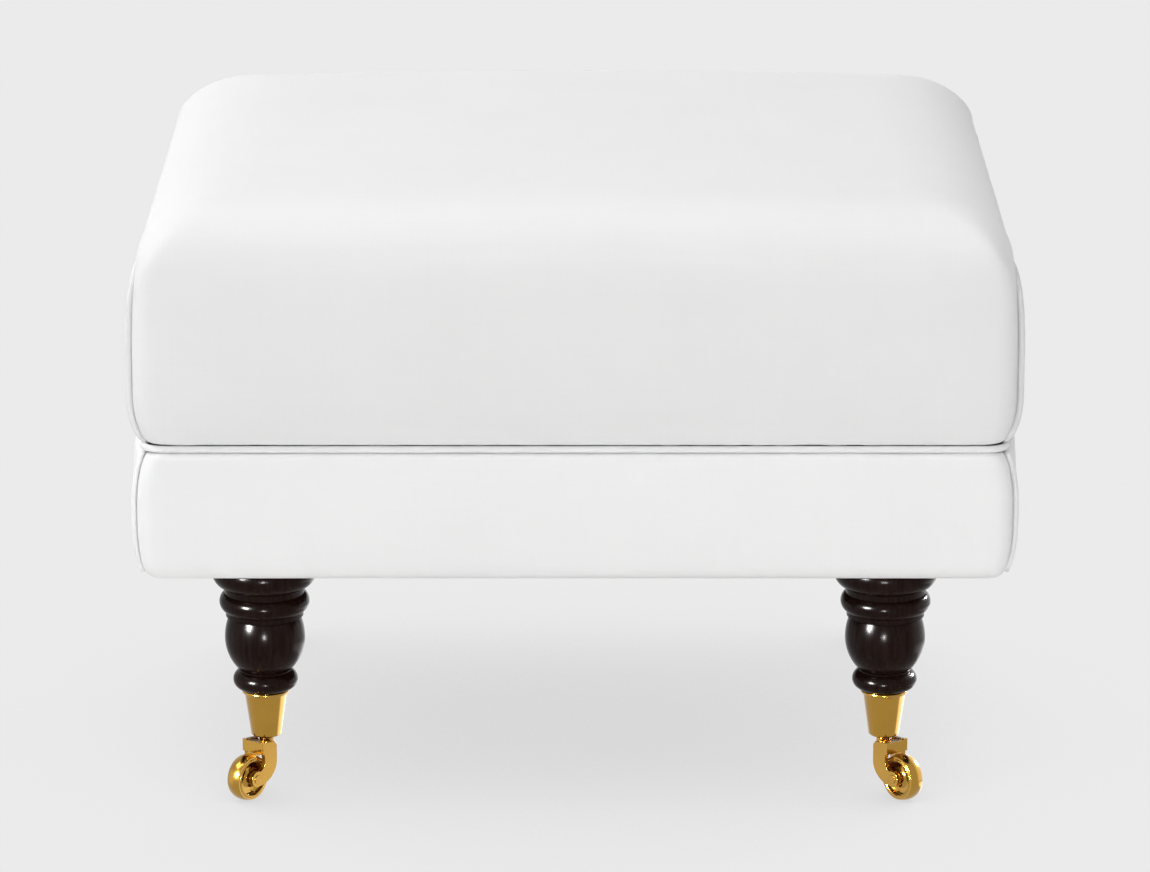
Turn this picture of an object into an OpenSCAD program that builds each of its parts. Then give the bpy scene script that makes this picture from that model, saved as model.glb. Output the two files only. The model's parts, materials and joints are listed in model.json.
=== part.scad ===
// Upholstered footstool: a sprung-web seat box with a padded, piped cover,
// on four turned legs that end in brass cup casters.
// Units are millimetres. +Z is up, the front is at -Y, and the origin lies on the floor
// under the middle of the stool.

/* [Seat cushion] */
// Width of the seat between its side seams
seat_w = 632; // [540:1:760]
// Depth of the seat from front face to back face
seat_d = 490; // [420:1:580]
// Height of the seat cover at its edges, above the deck piping
seat_h = 175.2; // [140:1:210]
// Radius of the soft edge all round the top
seat_top_r = 45; // [30:1:55]
// Radius of the bottom edge at the front and the back
seat_bottom_r = 8; // [5:1:12]
// Width across the face of the upright corner roll
seat_roll_w = 18; // [12:1:26]
// Depth of the upright corner roll
seat_roll_d = 12; // [8:1:16]
// Radius of the side seam's two upper bends
seat_seam_r = 25; // [15:1:40]
// Rise of the top from its edge to its middle
top_crown = 6; // [0:1:15]
// Outward swell of the front and the back
face_swell = 3; // [0:1:8]
// Quick step outwards from the side seam on to the side panel
side_step = 2; // [0:0.5:5]
// Slow outward swell of the side panels
side_swell = 4; // [0:1:10]
// How far the side seams draw in at the bottom
seat_tuck_w = 7; // [2:1:12]
// Height over which the side seams draw in
seat_tuck_h = 32; // [15:1:50]

/* [Upholstered base] */
// How far each end of the base lies in from the seat
base_in_x = 4; // [0:0.5:8]
// How far the front and the back of the base lie in from the seat
base_in_y = 1.5; // [0:0.5:6]
// Height of the base
base_h = 95.6; // [82:0.2:122]
// Radius of the lower edge
base_bottom_r = 12; // [8:1:16]
// Radius of the upper edge under the deck piping
base_top_r = 8; // [5:1:12]
// Width of the upright corner roll
base_roll_w = 13; // [8:1:20]
// Depth of the upright corner roll
base_roll_d = 9; // [6:1:14]
// How far the corner seams draw in at the top and the bottom
base_tuck_w = 6; // [2:1:9]
// Height over which the corner seams draw in
base_tuck_h = 28; // [15:1:38]
// Outward swell of the base faces
base_swell = 2; // [0:1:6]
// How far the side panels stand out from their corner seams
base_side_out = 5; // [3:0.5:7]
// How far the covers turn in under the base
under_turn = 15; // [12:1:20]

/* [Cover and trim] */
// Thickness of the cover with its wadding
cover_t = 3; // [2:0.5:4]
// Diameter of the piping cord
piping_d = 5; // [4:0.5:8]
// Corner radius of the deck piping
deck_corner_r = 15; // [8:1:25]
// Thickness of the dust cover
dust_t = 0.8; // [0.6:0.1:1.5]
// Distance from the base edge to the dust cover's edge
dust_inset = 14; // [12:1:25]

/* [Frame] */
// Thickness of the four rails
rail_t = 22; // [18:1:28]
// Corner radius of the rail frame
frame_corner_r = 14; // [10:1:20]
// Length of a corner block along each rail
block_l = 110; // [100:1:130]
// Height of a corner block
block_h = 45; // [35:1:60]
// Diameter of the dowels in the rail joints
dowel_d = 8; // [6:1:10]
// Length of the dowels
dowel_l = 40; // [30:1:50]
// Diameter of the block screws
screw_d = 4; // [3:0.5:5]

/* [Webbing] */
// Width of a web strap
web_w = 50; // [40:1:60]
// Thickness of a web strap
web_t = 1.6; // [1:0.1:2.5]
// Straps that run from side to side
web_long_n = 3; // [3]
// Straps that run from front to back
web_cross_n = 4; // [4]

/* [Legs] */
// Distance of a leg's axis from the base seam at the side
leg_in_x = 86; // [70:1:100]
// Distance of a leg's axis from the front or back face of the base
leg_in_y = 50.5; // [48:0.5:60]
// Height of the turned leg above its caster cup
leg_h = 94.7; // [90:0.1:110]
// Radius of the big bead under the base
top_bead_r = 38; // [34:0.5:42]
// Radius of the second bead
mid_bead_r = 32.8; // [30:0.2:36]
// Radius of the ball
ball_r = 29.2; // [26:0.2:32]
// Height of the ball's widest line above the cup
ball_z = 39.7; // [37.5:0.1:42]
// Radius of the bead above the cup
low_bead_r = 23.6; // [21:0.2:26]
// Radius of the neck between the ball and the low bead
neck_r = 18.8; // [17:0.2:20]
// Diameter of the hanger bolts
bolt_d = 8; // [6:1:10]
// Depth of a hanger bolt in the leg
bolt_in = 38; // [25:1:45]

/* [Casters] */
// Diameter of the caster wheel
wheel_d = 34.5; // [30:0.5:36]
// Width of the caster wheel
wheel_w = 12; // [10:0.5:14]
// Distance of the wheel's axle behind the swivel axis
trail = 21; // [19:0.5:24]
// Thickness of each fork cheek
cheek_t = 3.2; // [2.5:0.1:4]
// Thickness of the fork crown
crown_t = 5.4; // [4.5:0.1:8]
// Length of the fork crown in front of the swivel axis
crown_l = 15; // [13:0.5:17]
// How far the fork's horn rises over the crown
horn_rise = 3.7; // [2.5:0.1:4.4]
// Radius of the boss round the swivel pin
boss_r = 7.5; // [6.5:0.1:9]
// Diameter of the axle
axle_d = 4; // [3:0.5:5]
// Diameter of the swivel pin
pin_d = 6; // [5:0.5:7]
// Height of the pin's collar between fork and cup
collar_h = 5.4; // [4.8:0.1:7]
// Height of the cup
cup_h = 35.4; // [30:0.2:41]
// Outside radius of the cup at its mouth
cup_top_r = 15.8; // [14.2:0.1:17.8]
// Radius of the rolled lip round the cup's mouth
cup_lip_r = 1.6; // [1:0.1:2]
// Outside radius of the cup at its floor
cup_bottom_r = 11.1; // [10:0.1:13]
// Thickness of the cup's wall
cup_wall = 1.8; // [1.4:0.1:2.4]
// Thickness of the cup's floor
cup_floor = 4; // [3:0.5:6]
// Angle between a caster's trail and the front to back line
caster_turn = 39; // [0:1:80]

/* [Fits] */
// Radial clearance of a turning pin
run_gap = 0.05; // [0.02:0.01:0.08]
// Radial clearance of a fixed pin or bolt
fixed_gap = 0.02; // [0.01:0.01:0.05]
// Gap between soft pieces that lie against each other
soft_gap = 0.3; // [0.2:0.05:0.5]
// Side clearance of the wheel in its fork
wheel_gap = 0.8; // [0.4:0.1:1.2]

/* [Hidden] */

$fn = 64;
eps = 0.01;
CREAM = "ghostwhite";
TRIM = "gainsboro";
BRASS = "goldenrod";
DARK = [0.12, 0.08, 0.07];

// Corners of the stool as [x side, y side]
FL = [-1, -1];
FR = [1, -1];
BL = [-1, 1];
BR = [1, 1];
CORNERS = [FL, FR, BL, BR];

// Clearance between the deck piping and the covers that it lies on
deck_gap = 0.1;
// Slack between the side rails and the cover, where the padding lies
frame_slack = 3.5;

// Heights above the floor, from the wheel up
axle_z = wheel_d / 2;
// Height by which the wheel reaches up between the cheeks past the crown's underside
wheel_rise = 0.3;
fork_top = wheel_d - wheel_rise + crown_t;
cup_z = fork_top + collar_h;
cup_top = cup_z + cup_h;
leg_top = cup_top + leg_h;
base_z = leg_top + dust_t;
base_top = base_z + base_h;
piping_r = piping_d / 2;
deck_z = base_top + deck_gap + piping_r;
seat_z = deck_z + piping_r + 2 * deck_gap;
seat_edge_z = seat_z + seat_h;
frame_z = base_z + cover_t + soft_gap;
rail_top = base_top - cover_t - soft_gap;
web_gap = 0.1;
web_wave = web_t / 2 + 1.5 * web_gap;
web_z = rail_top + web_gap + web_t / 2 + web_wave;
web_top = web_z + web_wave + web_t / 2;
felt_z = web_top + soft_gap;
base_w = seat_w - 2 * base_in_x;
base_d = seat_d - 2 * base_in_y;
leg_x = base_w / 2 - leg_in_x;
leg_y = base_d / 2 - leg_in_y;
frame_w = base_w - 2 * (cover_t + frame_slack);
frame_d = base_d - 2 * (cover_t + soft_gap);

// Small helpers
function lerp(a, b, t) = a + (b - a) * t;
function ease(t) = t * t * (3 - 2 * t);
function unit(v) = v / norm(v);
function flat(rows) = [for (row = rows) each row];
function bezier(a, b, c, d, n) = [
    for (i = [0:n]) let (t = i / n, s = 1 - t)
        s * s * s * a + 3 * s * s * t * b + 3 * s * t * t * c + t * t * t * d
];
// Draw-in of a seam near the end of its height, a quarter ellipse of width w and height h
function draw_in(up, w, h) = up >= h ? 0 : w * (1 - sqrt(1 - pow(1 - max(up, 0) / h, 2)));
// A pillow's rise over a span from -1 to 1, steep at the ends
function pillow(u) = sqrt(max(0, 1 - pow(abs(u), 8)));

// Closed shell between an outer and an inner grid of points
module shell(outer, inner) {
    rows = len(outer);
    cols = len(outer[0]);
    n = rows * cols;
    skin = [for (i = [0:rows - 2]) for (j = [0:cols - 2])
        let (a = i * cols + j, b = a + 1, c = a + cols, d = c + 1) each [[a, d, b], [a, c, d]]];
    back = [for (f = skin) [f[0] + n, f[2] + n, f[1] + n]];
    row_rims = [for (j = [0:cols - 2])
        let (a = j, b = j + 1, c = (rows - 1) * cols + j, d = c + 1)
        each [[a, b, b + n], [a, b + n, a + n], [d, c, c + n], [d, c + n, d + n]]];
    col_rims = [for (i = [0:rows - 2])
        let (a = i * cols, c = a + cols, b = a + cols - 1, d = b + cols)
        each [[c, a, a + n], [c, a + n, c + n], [b, d, d + n], [b, d + n, b + n]]];
    polyhedron(concat(flat(outer), flat(inner)), concat(skin, back, row_rims, col_rims));
}

// Closed solid through a row of closed rings, with fanned ends
module loft(rings) {
    m = len(rings);
    n = len(rings[0]);
    first_mid = m * n;
    last_mid = m * n + 1;
    mids = [for (r = [rings[0], rings[m - 1]]) [for (k = [0:2]) [for (p = r) p[k]] * [for (p = r) 1] / n]];
    sides = [for (i = [0:m - 2]) for (j = [0:n - 1])
        let (k = (j + 1) % n, a = i * n + j, b = i * n + k, c = a + n, d = b + n)
        each [[a, b, d], [a, d, c]]];
    first_fan = [for (j = [0:n - 1]) [(j + 1) % n, j, first_mid]];
    last_fan = [for (j = [0:n - 1]) let (o = (m - 1) * n) [o + j, o + (j + 1) % n, last_mid]];
    polyhedron(concat(flat(rings), mids), concat(sides, first_fan, last_fan));
}

// Tube of 8 sides along a path that bends mostly in an upright plane across X
module cord(path, r) {
    last = len(path) - 1;
    rings = [for (i = [0:last])
        let (
            t = unit(path[min(i + 1, last)] - path[max(i - 1, 0)]),
            side = unit([1, 0, 0] - t[0] * t),
            up = cross(t, side)
        )
        [for (a = [0:45:315]) path[i] + r * (cos(a) * side - sin(a) * up)]];
    loft(rings);
}

// Rounded rectangle centred on the origin
module round_rect(w, d, r) {
    square([w - 2 * r, d], center = true);
    square([w, d - 2 * r], center = true);
    for (sx = [-1, 1], sy = [-1, 1]) translate([sx * (w / 2 - r), sy * (d / 2 - r)]) circle(r = r);
}

// Seat cover
// A station is [profile point, outward normal, seam point, seam normal, roll width, crown],
// with points as [y, z]. The list runs up the front, over the top and down the back.
seat_seam_in = seat_roll_d + piping_r + soft_gap;
seat_seam_down = seat_top_r + piping_r + soft_gap;
seat_seam_y = -seat_d / 2 + seat_seam_in;
seat_bend_z = seat_edge_z - seat_seam_down - seat_seam_r;
// Height of the side seam's lower end above the deck piping
seam_start = 0.5;
// The crown grows by this share from the top's edge to its middle
crown_growth = 0.3;

function seat_front_stations() = concat(
    [for (a = [270:-30:180])
        let (n = [cos(a), sin(a)], c = [-seat_d / 2 + seat_bottom_r, seat_z + seat_bottom_r],
             p = c + seat_bottom_r * n)
        [p, n, [seat_seam_y, max(p[1], seat_z + seam_start)], [-1, 0], seat_roll_w, 0]],
    [for (t = [0.2, 0.4, 0.6, 0.8])
        let (low = seat_z + seat_bottom_r)
        [[-seat_d / 2, lerp(low, seat_edge_z - seat_top_r, t)], [-1, 0],
         [seat_seam_y, lerp(low, seat_bend_z, t)], [-1, 0], seat_roll_w, face_swell * sin(180 * t)]],
    [for (a = [180:-15:90])
        let (n = [cos(a), sin(a)], t = (180 - a) / 90,
             c = [-seat_d / 2 + seat_top_r, seat_edge_z - seat_top_r],
             s = [seat_seam_y + seat_seam_r, seat_bend_z])
        [c + seat_top_r * n, n, s + seat_seam_r * n, n,
         lerp(seat_roll_w, seat_top_r, ease(t)), top_crown * ease(t)]]
);
function seat_top_stations() = [for (t = [0.25, 0.5, 0.75])
    [[(t - 1) * (seat_d / 2 - seat_top_r), seat_edge_z], [0, 1],
     [(t - 1) * (seat_d / 2 - seat_seam_in - seat_seam_r), seat_edge_z - seat_seam_down], [0, 1],
     seat_top_r, top_crown * (1 + crown_growth * sin(90 * t))]];
function mirrored(s) = [[-s[0][0], s[0][1]], [-s[1][0], s[1][1]], [-s[2][0], s[2][1]],
    [-s[3][0], s[3][1]], s[4], s[5]];
function reversed(list) = [for (i = [len(list) - 1:-1:0]) list[i]];
seat_half = concat(seat_front_stations(), seat_top_stations());
seat_middle = [[[0, seat_edge_z], [0, 1], [0, seat_edge_z - seat_seam_down], [0, 1],
    seat_top_r, top_crown * (1 + crown_growth)]];
seat_stations = concat(seat_half, seat_middle, [for (s = reversed(seat_half)) mirrored(s)]);

function seat_in(z) = draw_in(z - seat_z, seat_tuck_w, seat_tuck_h);
function seat_seam_x(z) = seat_w / 2 - seat_in(z);
// Seam point with its draw-in, as [y, z]
function seat_seam(s) = [s[2][0] - sign(s[2][0]) * seat_in(s[2][1]) / 2, s[2][1]];
// Edge of the main panel, just clear of the piping, as [y, z]
function seat_edge(s) = seat_seam(s) + (piping_r + soft_gap) * s[3];

// One row of the main panel at station s, set in from the outside by inset
function seat_row(s, inset, flats, rolls) =
    let (
        edge = seat_edge(s),
        edge_x = seat_seam_x(s[2][1]) - inset,
        roll = s[4] - inset,
        base = s[0] - inset * s[1],
        half = edge_x - roll,
        right = [for (a = rolls)
            let (p = lerp(base, edge, 1 - cos(a))) [half + roll * sin(a), p[0], p[1]]],
        middle = [for (f = flats)
            let (p = base + s[5] * (1 - pow(f * half / edge_x, 2)) * s[1]) [f * half, p[0], p[1]]]
    )
    concat([for (q = reversed(right)) [-q[0], q[1], q[2]]], middle, right);

seat_flats = [-1, -0.85, -0.5, -0.17, 0.17, 0.5, 0.85, 1];
seat_rolls = [22.5, 45, 67.5, 90];

module seat_panel() {
    color(CREAM)
        shell([for (s = seat_stations) seat_row(s, 0, seat_flats, seat_rolls)],
            [for (s = seat_stations) seat_row(s, cover_t, seat_flats, seat_rolls)]);
}

// Side panel: rows from the bottom up to the straight upper seam
seat_side_stations = seat_front_stations();
side_low = seat_side_stations[0][2][1];
side_high = seat_edge_z - seat_seam_down - piping_r - soft_gap;
side_steps = [-1, -0.97, -0.88, -0.6, -0.2, 0.2, 0.6, 0.88, 0.97, 1];

function side_rise(u, v) = side_step * pillow(u) * pillow(v) + side_swell * (1 - u * u) * (1 - v * v);
function side_row(s, inset) =
    let (
        rim = seat_seam(s) - (piping_r + soft_gap) * s[3],
        v = 2 * (rim[1] - side_low) / (side_high - side_low) - 1
    )
    [for (u = side_steps) [seat_seam_x(s[2][1]) + side_rise(u, v) - inset, -u * rim[0], rim[1]]];

module seat_side(sx) {
    grid = [for (s = seat_side_stations) side_row(s, 0)];
    inner = [for (s = seat_side_stations) side_row(s, cover_t)];
    color(CREAM)
        mirror([sx < 0 ? 1 : 0, 0, 0])
            shell(grid, inner);
}

module seat_piping(sx) {
    path = [for (s = seat_stations)
        let (p = seat_seam(s)) [sx * (seat_seam_x(s[2][1]) + soft_gap), p[0], p[1]]];
    color(TRIM) cord(path, piping_r);
}

// Foam block: the seat's form set in by the cover, with its sides crowned behind the side panels
foam_flats = [-1, -0.5, 0, 0.5, 1];
foam_rolls = [45, 90];
// Share of the side panel's swell that the foam follows, and its extra clearance there
foam_swell = 0.6;
foam_slack = 0.2;

module seat_foam() {
    inset = cover_t + soft_gap;
    rows = [for (s = seat_stations) seat_row(s, inset, foam_flats, foam_rolls)];
    cols = len(rows[0]);
    rings = [for (j = [0:cols - 1]) [for (row = rows) row[j]]];
    mid_z = (seat_z + side_high) / 2;
    // Rings drawn in towards the middle of the side, which swell out behind the side panel
    last_ring = rings[cols - 1];
    caps = [for (k = [0.8, 0.4])
        [for (p = last_ring)
            let (
                y = k * p[1],
                z = lerp(mid_z, p[2], k),
                u = 2 * y / seat_d,
                v = 2 * (z - seat_z) / (side_high - seat_z) - 1
            )
            [seat_seam_x(z) - inset - foam_slack + foam_swell * side_swell * max(0, (1 - u * u) * (1 - v * v)),
             y, z]]];
    left_caps = [for (ring = reversed(caps)) [for (p = ring) [-p[0], p[1], p[2]]]];
    color("khaki") loft(concat(left_caps, rings, caps));
}

// Felt pad between the webbing and the foam, inside the edges of the seat cover
pad_in = 28;
module felt_pad() {
    color("dimgray")
        translate([0, 0, felt_z])
            linear_extrude(seat_z + cover_t - felt_z)
                round_rect(seat_w - 2 * pad_in, seat_d - 2 * pad_in, deck_corner_r);
}

// Piping round the deck, in the groove between the seat and the base
deck_side_out = 0.5;
deck_face_in = 5.5;
deck_w = seat_w - 2 * seat_tuck_w + 2 * deck_side_out;
deck_d = seat_d - 2 * deck_face_in;
module deck_piping() {
    straight_x = deck_w - 2 * deck_corner_r;
    straight_y = deck_d - 2 * deck_corner_r;
    color(TRIM)
        translate([0, 0, deck_z]) {
            for (sy = [-1, 1])
                translate([-straight_x / 2, sy * deck_d / 2, 0])
                    rotate([0, 90, 0])
                        cylinder(h = straight_x, r = piping_r);
            for (sx = [-1, 1])
                translate([sx * deck_w / 2, straight_y / 2, 0])
                    rotate([90, 0, 0])
                        cylinder(h = straight_y, r = piping_r);
            for (i = [0:3])
                translate([(i == 0 || i == 3 ? 1 : -1) * straight_x / 2, (i < 2 ? 1 : -1) * straight_y / 2, 0])
                    rotate([0, 0, 90 * i])
                        rotate_extrude(angle = 90)
                            translate([deck_corner_r, 0])
                                circle(r = piping_r);
        }
}

// Upholstered base
// A station is [profile point, outward normal, seam height, swell], with points as
// [distance in from the face, z]. The list runs from under the base up to the deck.
base_seam_in = base_roll_d + piping_r + soft_gap;
base_flats = [-1, -0.6, -0.2, 0.2, 0.6, 1];
base_rolls = [30, 60, 90];
// Ends of the corner seams, and the rise along them between the rows that turn in
seam_low_in = 5;
seam_high_in = 1;
seam_low = base_z + seam_low_in;
seam_high = base_top - seam_high_in;
seam_step = 1.5;
// How far the covers turn in over the base, past their upper edge
deck_turn = 6;
base_stations = concat(
    [[[under_turn, base_z], [0, -1], seam_low, 0]],
    [for (a = [270:-30:180])
        let (n = [cos(a), sin(a)], t = (270 - a) / 90)
        [[base_bottom_r, base_z + base_bottom_r] + base_bottom_r * n, n,
         seam_low + lerp(seam_step, base_bottom_r, t), 0]],
    [for (t = [0.25, 0.5, 0.75])
        [[0, lerp(base_z + base_bottom_r, base_top - base_top_r, t)], [-1, 0],
         lerp(seam_low + base_bottom_r, seam_high - base_top_r, t), base_swell * sin(180 * t)]],
    [for (a = [180:-30:90])
        let (n = [cos(a), sin(a)], t = (180 - a) / 90)
        [[base_top_r, base_top - base_top_r] + base_top_r * n, n,
         seam_high - lerp(base_top_r, seam_step, t), 0]],
    [[[base_top_r + deck_turn, base_top], [0, 1], seam_high, 0]]
);

function base_draw(z) = draw_in(min(z - base_z, base_top - z), base_tuck_w, base_tuck_h);
function base_seam_x(z) = base_w / 2 - base_draw(z);
function base_seam_y(z) = base_d / 2 - base_seam_in - base_draw(z) / 2;

function base_row(s, inset) =
    let (
        edge = [-base_seam_y(s[2]) - piping_r - soft_gap, s[2]],
        edge_x = base_seam_x(s[2]) - inset,
        roll = base_roll_w - inset,
        half = edge_x - roll,
        start = [s[0][0] - base_d / 2, s[0][1]] - inset * s[1],
        right = [for (a = base_rolls)
            let (p = lerp(start, edge, 1 - cos(a))) [half + roll * sin(a), p[0], p[1]]],
        middle = [for (f = base_flats)
            let (p = start + s[3] * (1 - f * f) * s[1]) [f * half, p[0], p[1]]]
    )
    concat([for (q = reversed(right)) [-q[0], q[1], q[2]]], middle, right);

module base_panel(sy) {
    color(CREAM)
        mirror([0, sy > 0 ? 1 : 0, 0])
            shell([for (s = base_stations) base_row(s, 0)], [for (s = base_stations) base_row(s, cover_t)]);
}

function base_side_row(s, inset) =
    let (
        rim = [base_seam_x(s[2]) - inset, s[2]],
        mid = [base_w / 2 + base_side_out - s[0][0], s[0][1]] - inset * [-s[1][0], s[1][1]],
        y = base_seam_y(s[2]) - piping_r - soft_gap
    )
    [for (u = side_steps) let (p = lerp(rim, mid, pillow(u))) [p[0] + s[3] * (1 - u * u), u * y, p[1]]];

module base_side(sx) {
    color(CREAM)
        mirror([sx < 0 ? 1 : 0, 0, 0])
            shell([for (s = base_stations) base_side_row(s, 0)],
                [for (s = base_stations) base_side_row(s, cover_t)]);
}

module corner_piping(c) {
    steps = 10;
    path = [for (i = [0:steps])
        let (z = lerp(seam_low, base_top - piping_r, (1 - cos(180 * i / steps)) / 2))
        [c[0] * (base_seam_x(z) + soft_gap), c[1] * base_seam_y(z), z]];
    color(TRIM) cord(path, piping_r);
}

// Clearance of the hanger bolts in the dust cover and the corner blocks
bolt_clear = 1;
module dust_cover() {
    color("black")
        translate([0, 0, base_z - dust_t])
            linear_extrude(dust_t - eps)
                difference() {
                    round_rect(base_w - 2 * dust_inset, base_d - 2 * dust_inset, frame_corner_r);
                    for (c = CORNERS) translate([c[0] * leg_x, c[1] * leg_y]) circle(d = bolt_d + bolt_clear);
                }
}

// Rail frame
module frame_section(w) {
    edge_ease = 1;
    low_r = base_bottom_r - cover_t + edge_ease;
    high_r = base_top_r - cover_t + edge_ease;
    h = rail_top - frame_z;
    translate([0, frame_z]) {
        translate([-w / 2 + low_r, 0]) square([w - 2 * low_r, h]);
        translate([-w / 2, low_r]) square([w, h - low_r - high_r]);
        translate([-w / 2 + high_r, h / 2]) square([w - 2 * high_r, h / 2]);
        for (sx = [-1, 1]) {
            translate([sx * (w / 2 - low_r), low_r]) circle(r = low_r);
            translate([sx * (w / 2 - high_r), h - high_r]) circle(r = high_r);
        }
    }
}

module frame_block() {
    intersection() {
        translate([0, 0, frame_z])
            linear_extrude(rail_top - frame_z)
                round_rect(frame_w, frame_d, frame_corner_r);
        rotate([90, 0, 90]) translate([0, 0, -frame_w / 2]) linear_extrude(frame_w) frame_section(frame_d);
        rotate([90, 0, 0]) translate([0, 0, -frame_d / 2]) linear_extrude(frame_d) frame_section(frame_w);
    }
}

inner_x = frame_w / 2 - rail_t;
inner_y = frame_d / 2 - rail_t;
rail_mid_z = (frame_z + rail_top) / 2;
// Length of a block screw in its block and in the rail
screw_in = 25;
screw_grip = 14;
screw_at = block_l - screw_in;
screw_head_h = 2.5;
// Depth of a dowel in the front or back rail
dowel_in = 14;
dowel_pitch = 40;

// The rail's own holes are cut with the pieces that fill them, a little larger
module front_or_back_rail(sy) {
    color("burlywood")
        difference() {
            intersection() {
                frame_block();
                translate([-frame_w, sy > 0 ? inner_y : -frame_d, 0])
                    cube([2 * frame_w, frame_d - inner_y, 2 * base_top]);
            }
            rail_dowel_set(fixed_gap);
            block_screw_set(fixed_gap);
            web_tack_set(fixed_gap);
        }
}

module side_rail(sx) {
    color("burlywood")
        difference() {
            intersection() {
                frame_block();
                translate([sx > 0 ? inner_x : -frame_w, -inner_y + eps, 0])
                    cube([frame_w - inner_x, 2 * (inner_y - eps), 2 * base_top]);
            }
            rail_dowel_set(fixed_gap);
            block_screw_set(fixed_gap);
            web_tack_set(fixed_gap);
        }
}

module rail_dowel_set(grow) {
    for (c = CORNERS, dz = [-dowel_pitch / 2, dowel_pitch / 2])
        translate([c[0] * (inner_x + rail_t / 2), c[1] * (inner_y - dowel_l + dowel_in), rail_mid_z + dz])
            rotate([-90 * c[1], 0, 0])
                cylinder(h = dowel_l, d = dowel_d + 2 * grow);
}

module rail_dowels() {
    color("wheat") rail_dowel_set(0);
}

// Screws through the thin end of a corner block into each rail
module block_screw(grow) {
    cylinder(h = screw_in + screw_grip, d = screw_d + 2 * grow);
    translate([0, 0, -screw_head_h]) cylinder(h = screw_head_h, d = 2 * screw_d + 2 * grow);
}

module block_screw_set(grow) {
    for (c = CORNERS) {
        translate([c[0] * (inner_x - screw_at), c[1] * (inner_y - screw_in), frame_z + block_h / 2])
            rotate([-90 * c[1], 0, 0]) block_screw(grow);
        translate([c[0] * (inner_x - screw_in), c[1] * (inner_y - screw_at), frame_z + block_h / 2])
            rotate([0, 90 * c[0], 0]) block_screw(grow);
    }
}

module block_screws() {
    color("silver") block_screw_set(0);
}

// Barrel of the tee nuts on the hanger bolts
nut_d = bolt_d + 3;
nut_l = 9;

// Corner block: a triangle with blunt ends, in the corner of the rails
module corner_block(c) {
    end_t = 8;
    nut_room = 1;
    relief_l = block_h;
    relief_at = screw_in + relief_l / 2;
    color("burlywood")
        difference() {
            translate([c[0] * (inner_x - eps), c[1] * (inner_y - eps), frame_z])
                mirror([c[0] > 0 ? 1 : 0, 0, 0]) mirror([0, c[1] > 0 ? 1 : 0, 0])
                    linear_extrude(block_h)
                        polygon([[0, 0], [block_l, 0], [block_l, end_t], [end_t, block_l], [0, block_l]]);
            translate([c[0] * leg_x, c[1] * leg_y, frame_z - 1])
                cylinder(h = block_h + 2, d = bolt_d + bolt_clear);
            translate([c[0] * leg_x, c[1] * leg_y, frame_z + block_h - nut_l - nut_room])
                cylinder(h = nut_l + 2 * nut_room, d = nut_d + 2 * fixed_gap);
            block_screw_set(fixed_gap);
            // Flats for the screw heads, square to the screws
            for (k = [0, 1])
                translate([c[0] * (inner_x - (k ? relief_at : screw_at)),
                    c[1] * (inner_y - (k ? screw_at : relief_at)), frame_z + block_h / 2])
                    rotate(k ? [0, 90, 0] : [90, 0, 0])
                        cylinder(h = relief_l, d = 3 * screw_d, center = true);
        }
}

// Hanger bolts rise from the legs through the corner blocks into tee nuts
bolt_top = frame_z + block_h + bolt_d / 2 + 1;
module hanger_bolts() {
    color("silver")
        for (c = CORNERS)
            translate([c[0] * leg_x, c[1] * leg_y, leg_top - bolt_in])
                cylinder(h = bolt_top - leg_top + bolt_in, d = bolt_d);
}

module leg_nuts() {
    flange_t = 1.5;
    color("silver")
        for (c = CORNERS)
            translate([c[0] * leg_x, c[1] * leg_y, frame_z + block_h])
                difference() {
                    union() {
                        translate([0, 0, -nut_l]) cylinder(h = nut_l + flange_t, d = nut_d);
                        translate([0, 0, eps]) cylinder(h = flange_t, d = 2 * nut_d);
                    }
                    translate([0, 0, -2 * nut_l]) cylinder(h = 4 * nut_l, d = bolt_d + 2 * fixed_gap);
                }
}

// Webbing, woven over and under
web_land = 11;
long_pitch = (frame_d - 2 * rail_t) / (web_long_n + 1);
cross_pitch = (frame_w - 2 * rail_t) / (web_cross_n + 1);
function long_y(i) = (i - (web_long_n - 1) / 2) * long_pitch;
function cross_x(i) = (i - (web_cross_n - 1) / 2) * cross_pitch;

// Height of a strap's middle: up or down at each crossing, and down on the rails.
// Each crossing has a flat, and past the last one the strap comes down over half a pitch.
function weave(t, pitch, n, phase) =
    let (
        flatness = 1.6,
        last_flat = 0.25,
        k = t / pitch + (n - 1) / 2,
        near = max(0, min(n - 1, k)),
        wave = max(-1, min(1, flatness * cos(180 * (near + phase)))),
        land = max(0, min(1, 1 - 2 * (abs(k - near) - last_flat)))
    )
    web_wave * lerp(-1, wave, ease(land));

module strap(length, pitch, n, phase) {
    steps = 60;
    line = [for (i = [0:steps])
        let (t = lerp(-length / 2, length / 2, i / steps)) [t, weave(t, pitch, n, phase)]];
    low = [for (p = line) [p[0], p[1] - web_t / 2]];
    high = [for (p = reversed(line)) [p[0], p[1] + web_t / 2]];
    rotate([90, 0, 0])
        linear_extrude(web_w, center = true)
            polygon(concat(low, high));
}

long_l = frame_w - 2 * (rail_t - web_land);
cross_l = frame_d - 2 * (rail_t - web_land);

module web_long(i) {
    color("tan")
        difference() {
            translate([0, long_y(i), web_z]) strap(long_l, cross_pitch, web_cross_n, i);
            web_tack_set(fixed_gap);
        }
}

module web_cross(i) {
    color("peru")
        difference() {
            translate([cross_x(i), 0, web_z]) rotate([0, 0, 90]) strap(cross_l, long_pitch, web_long_n, i + 1);
            web_tack_set(fixed_gap);
        }
}

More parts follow.
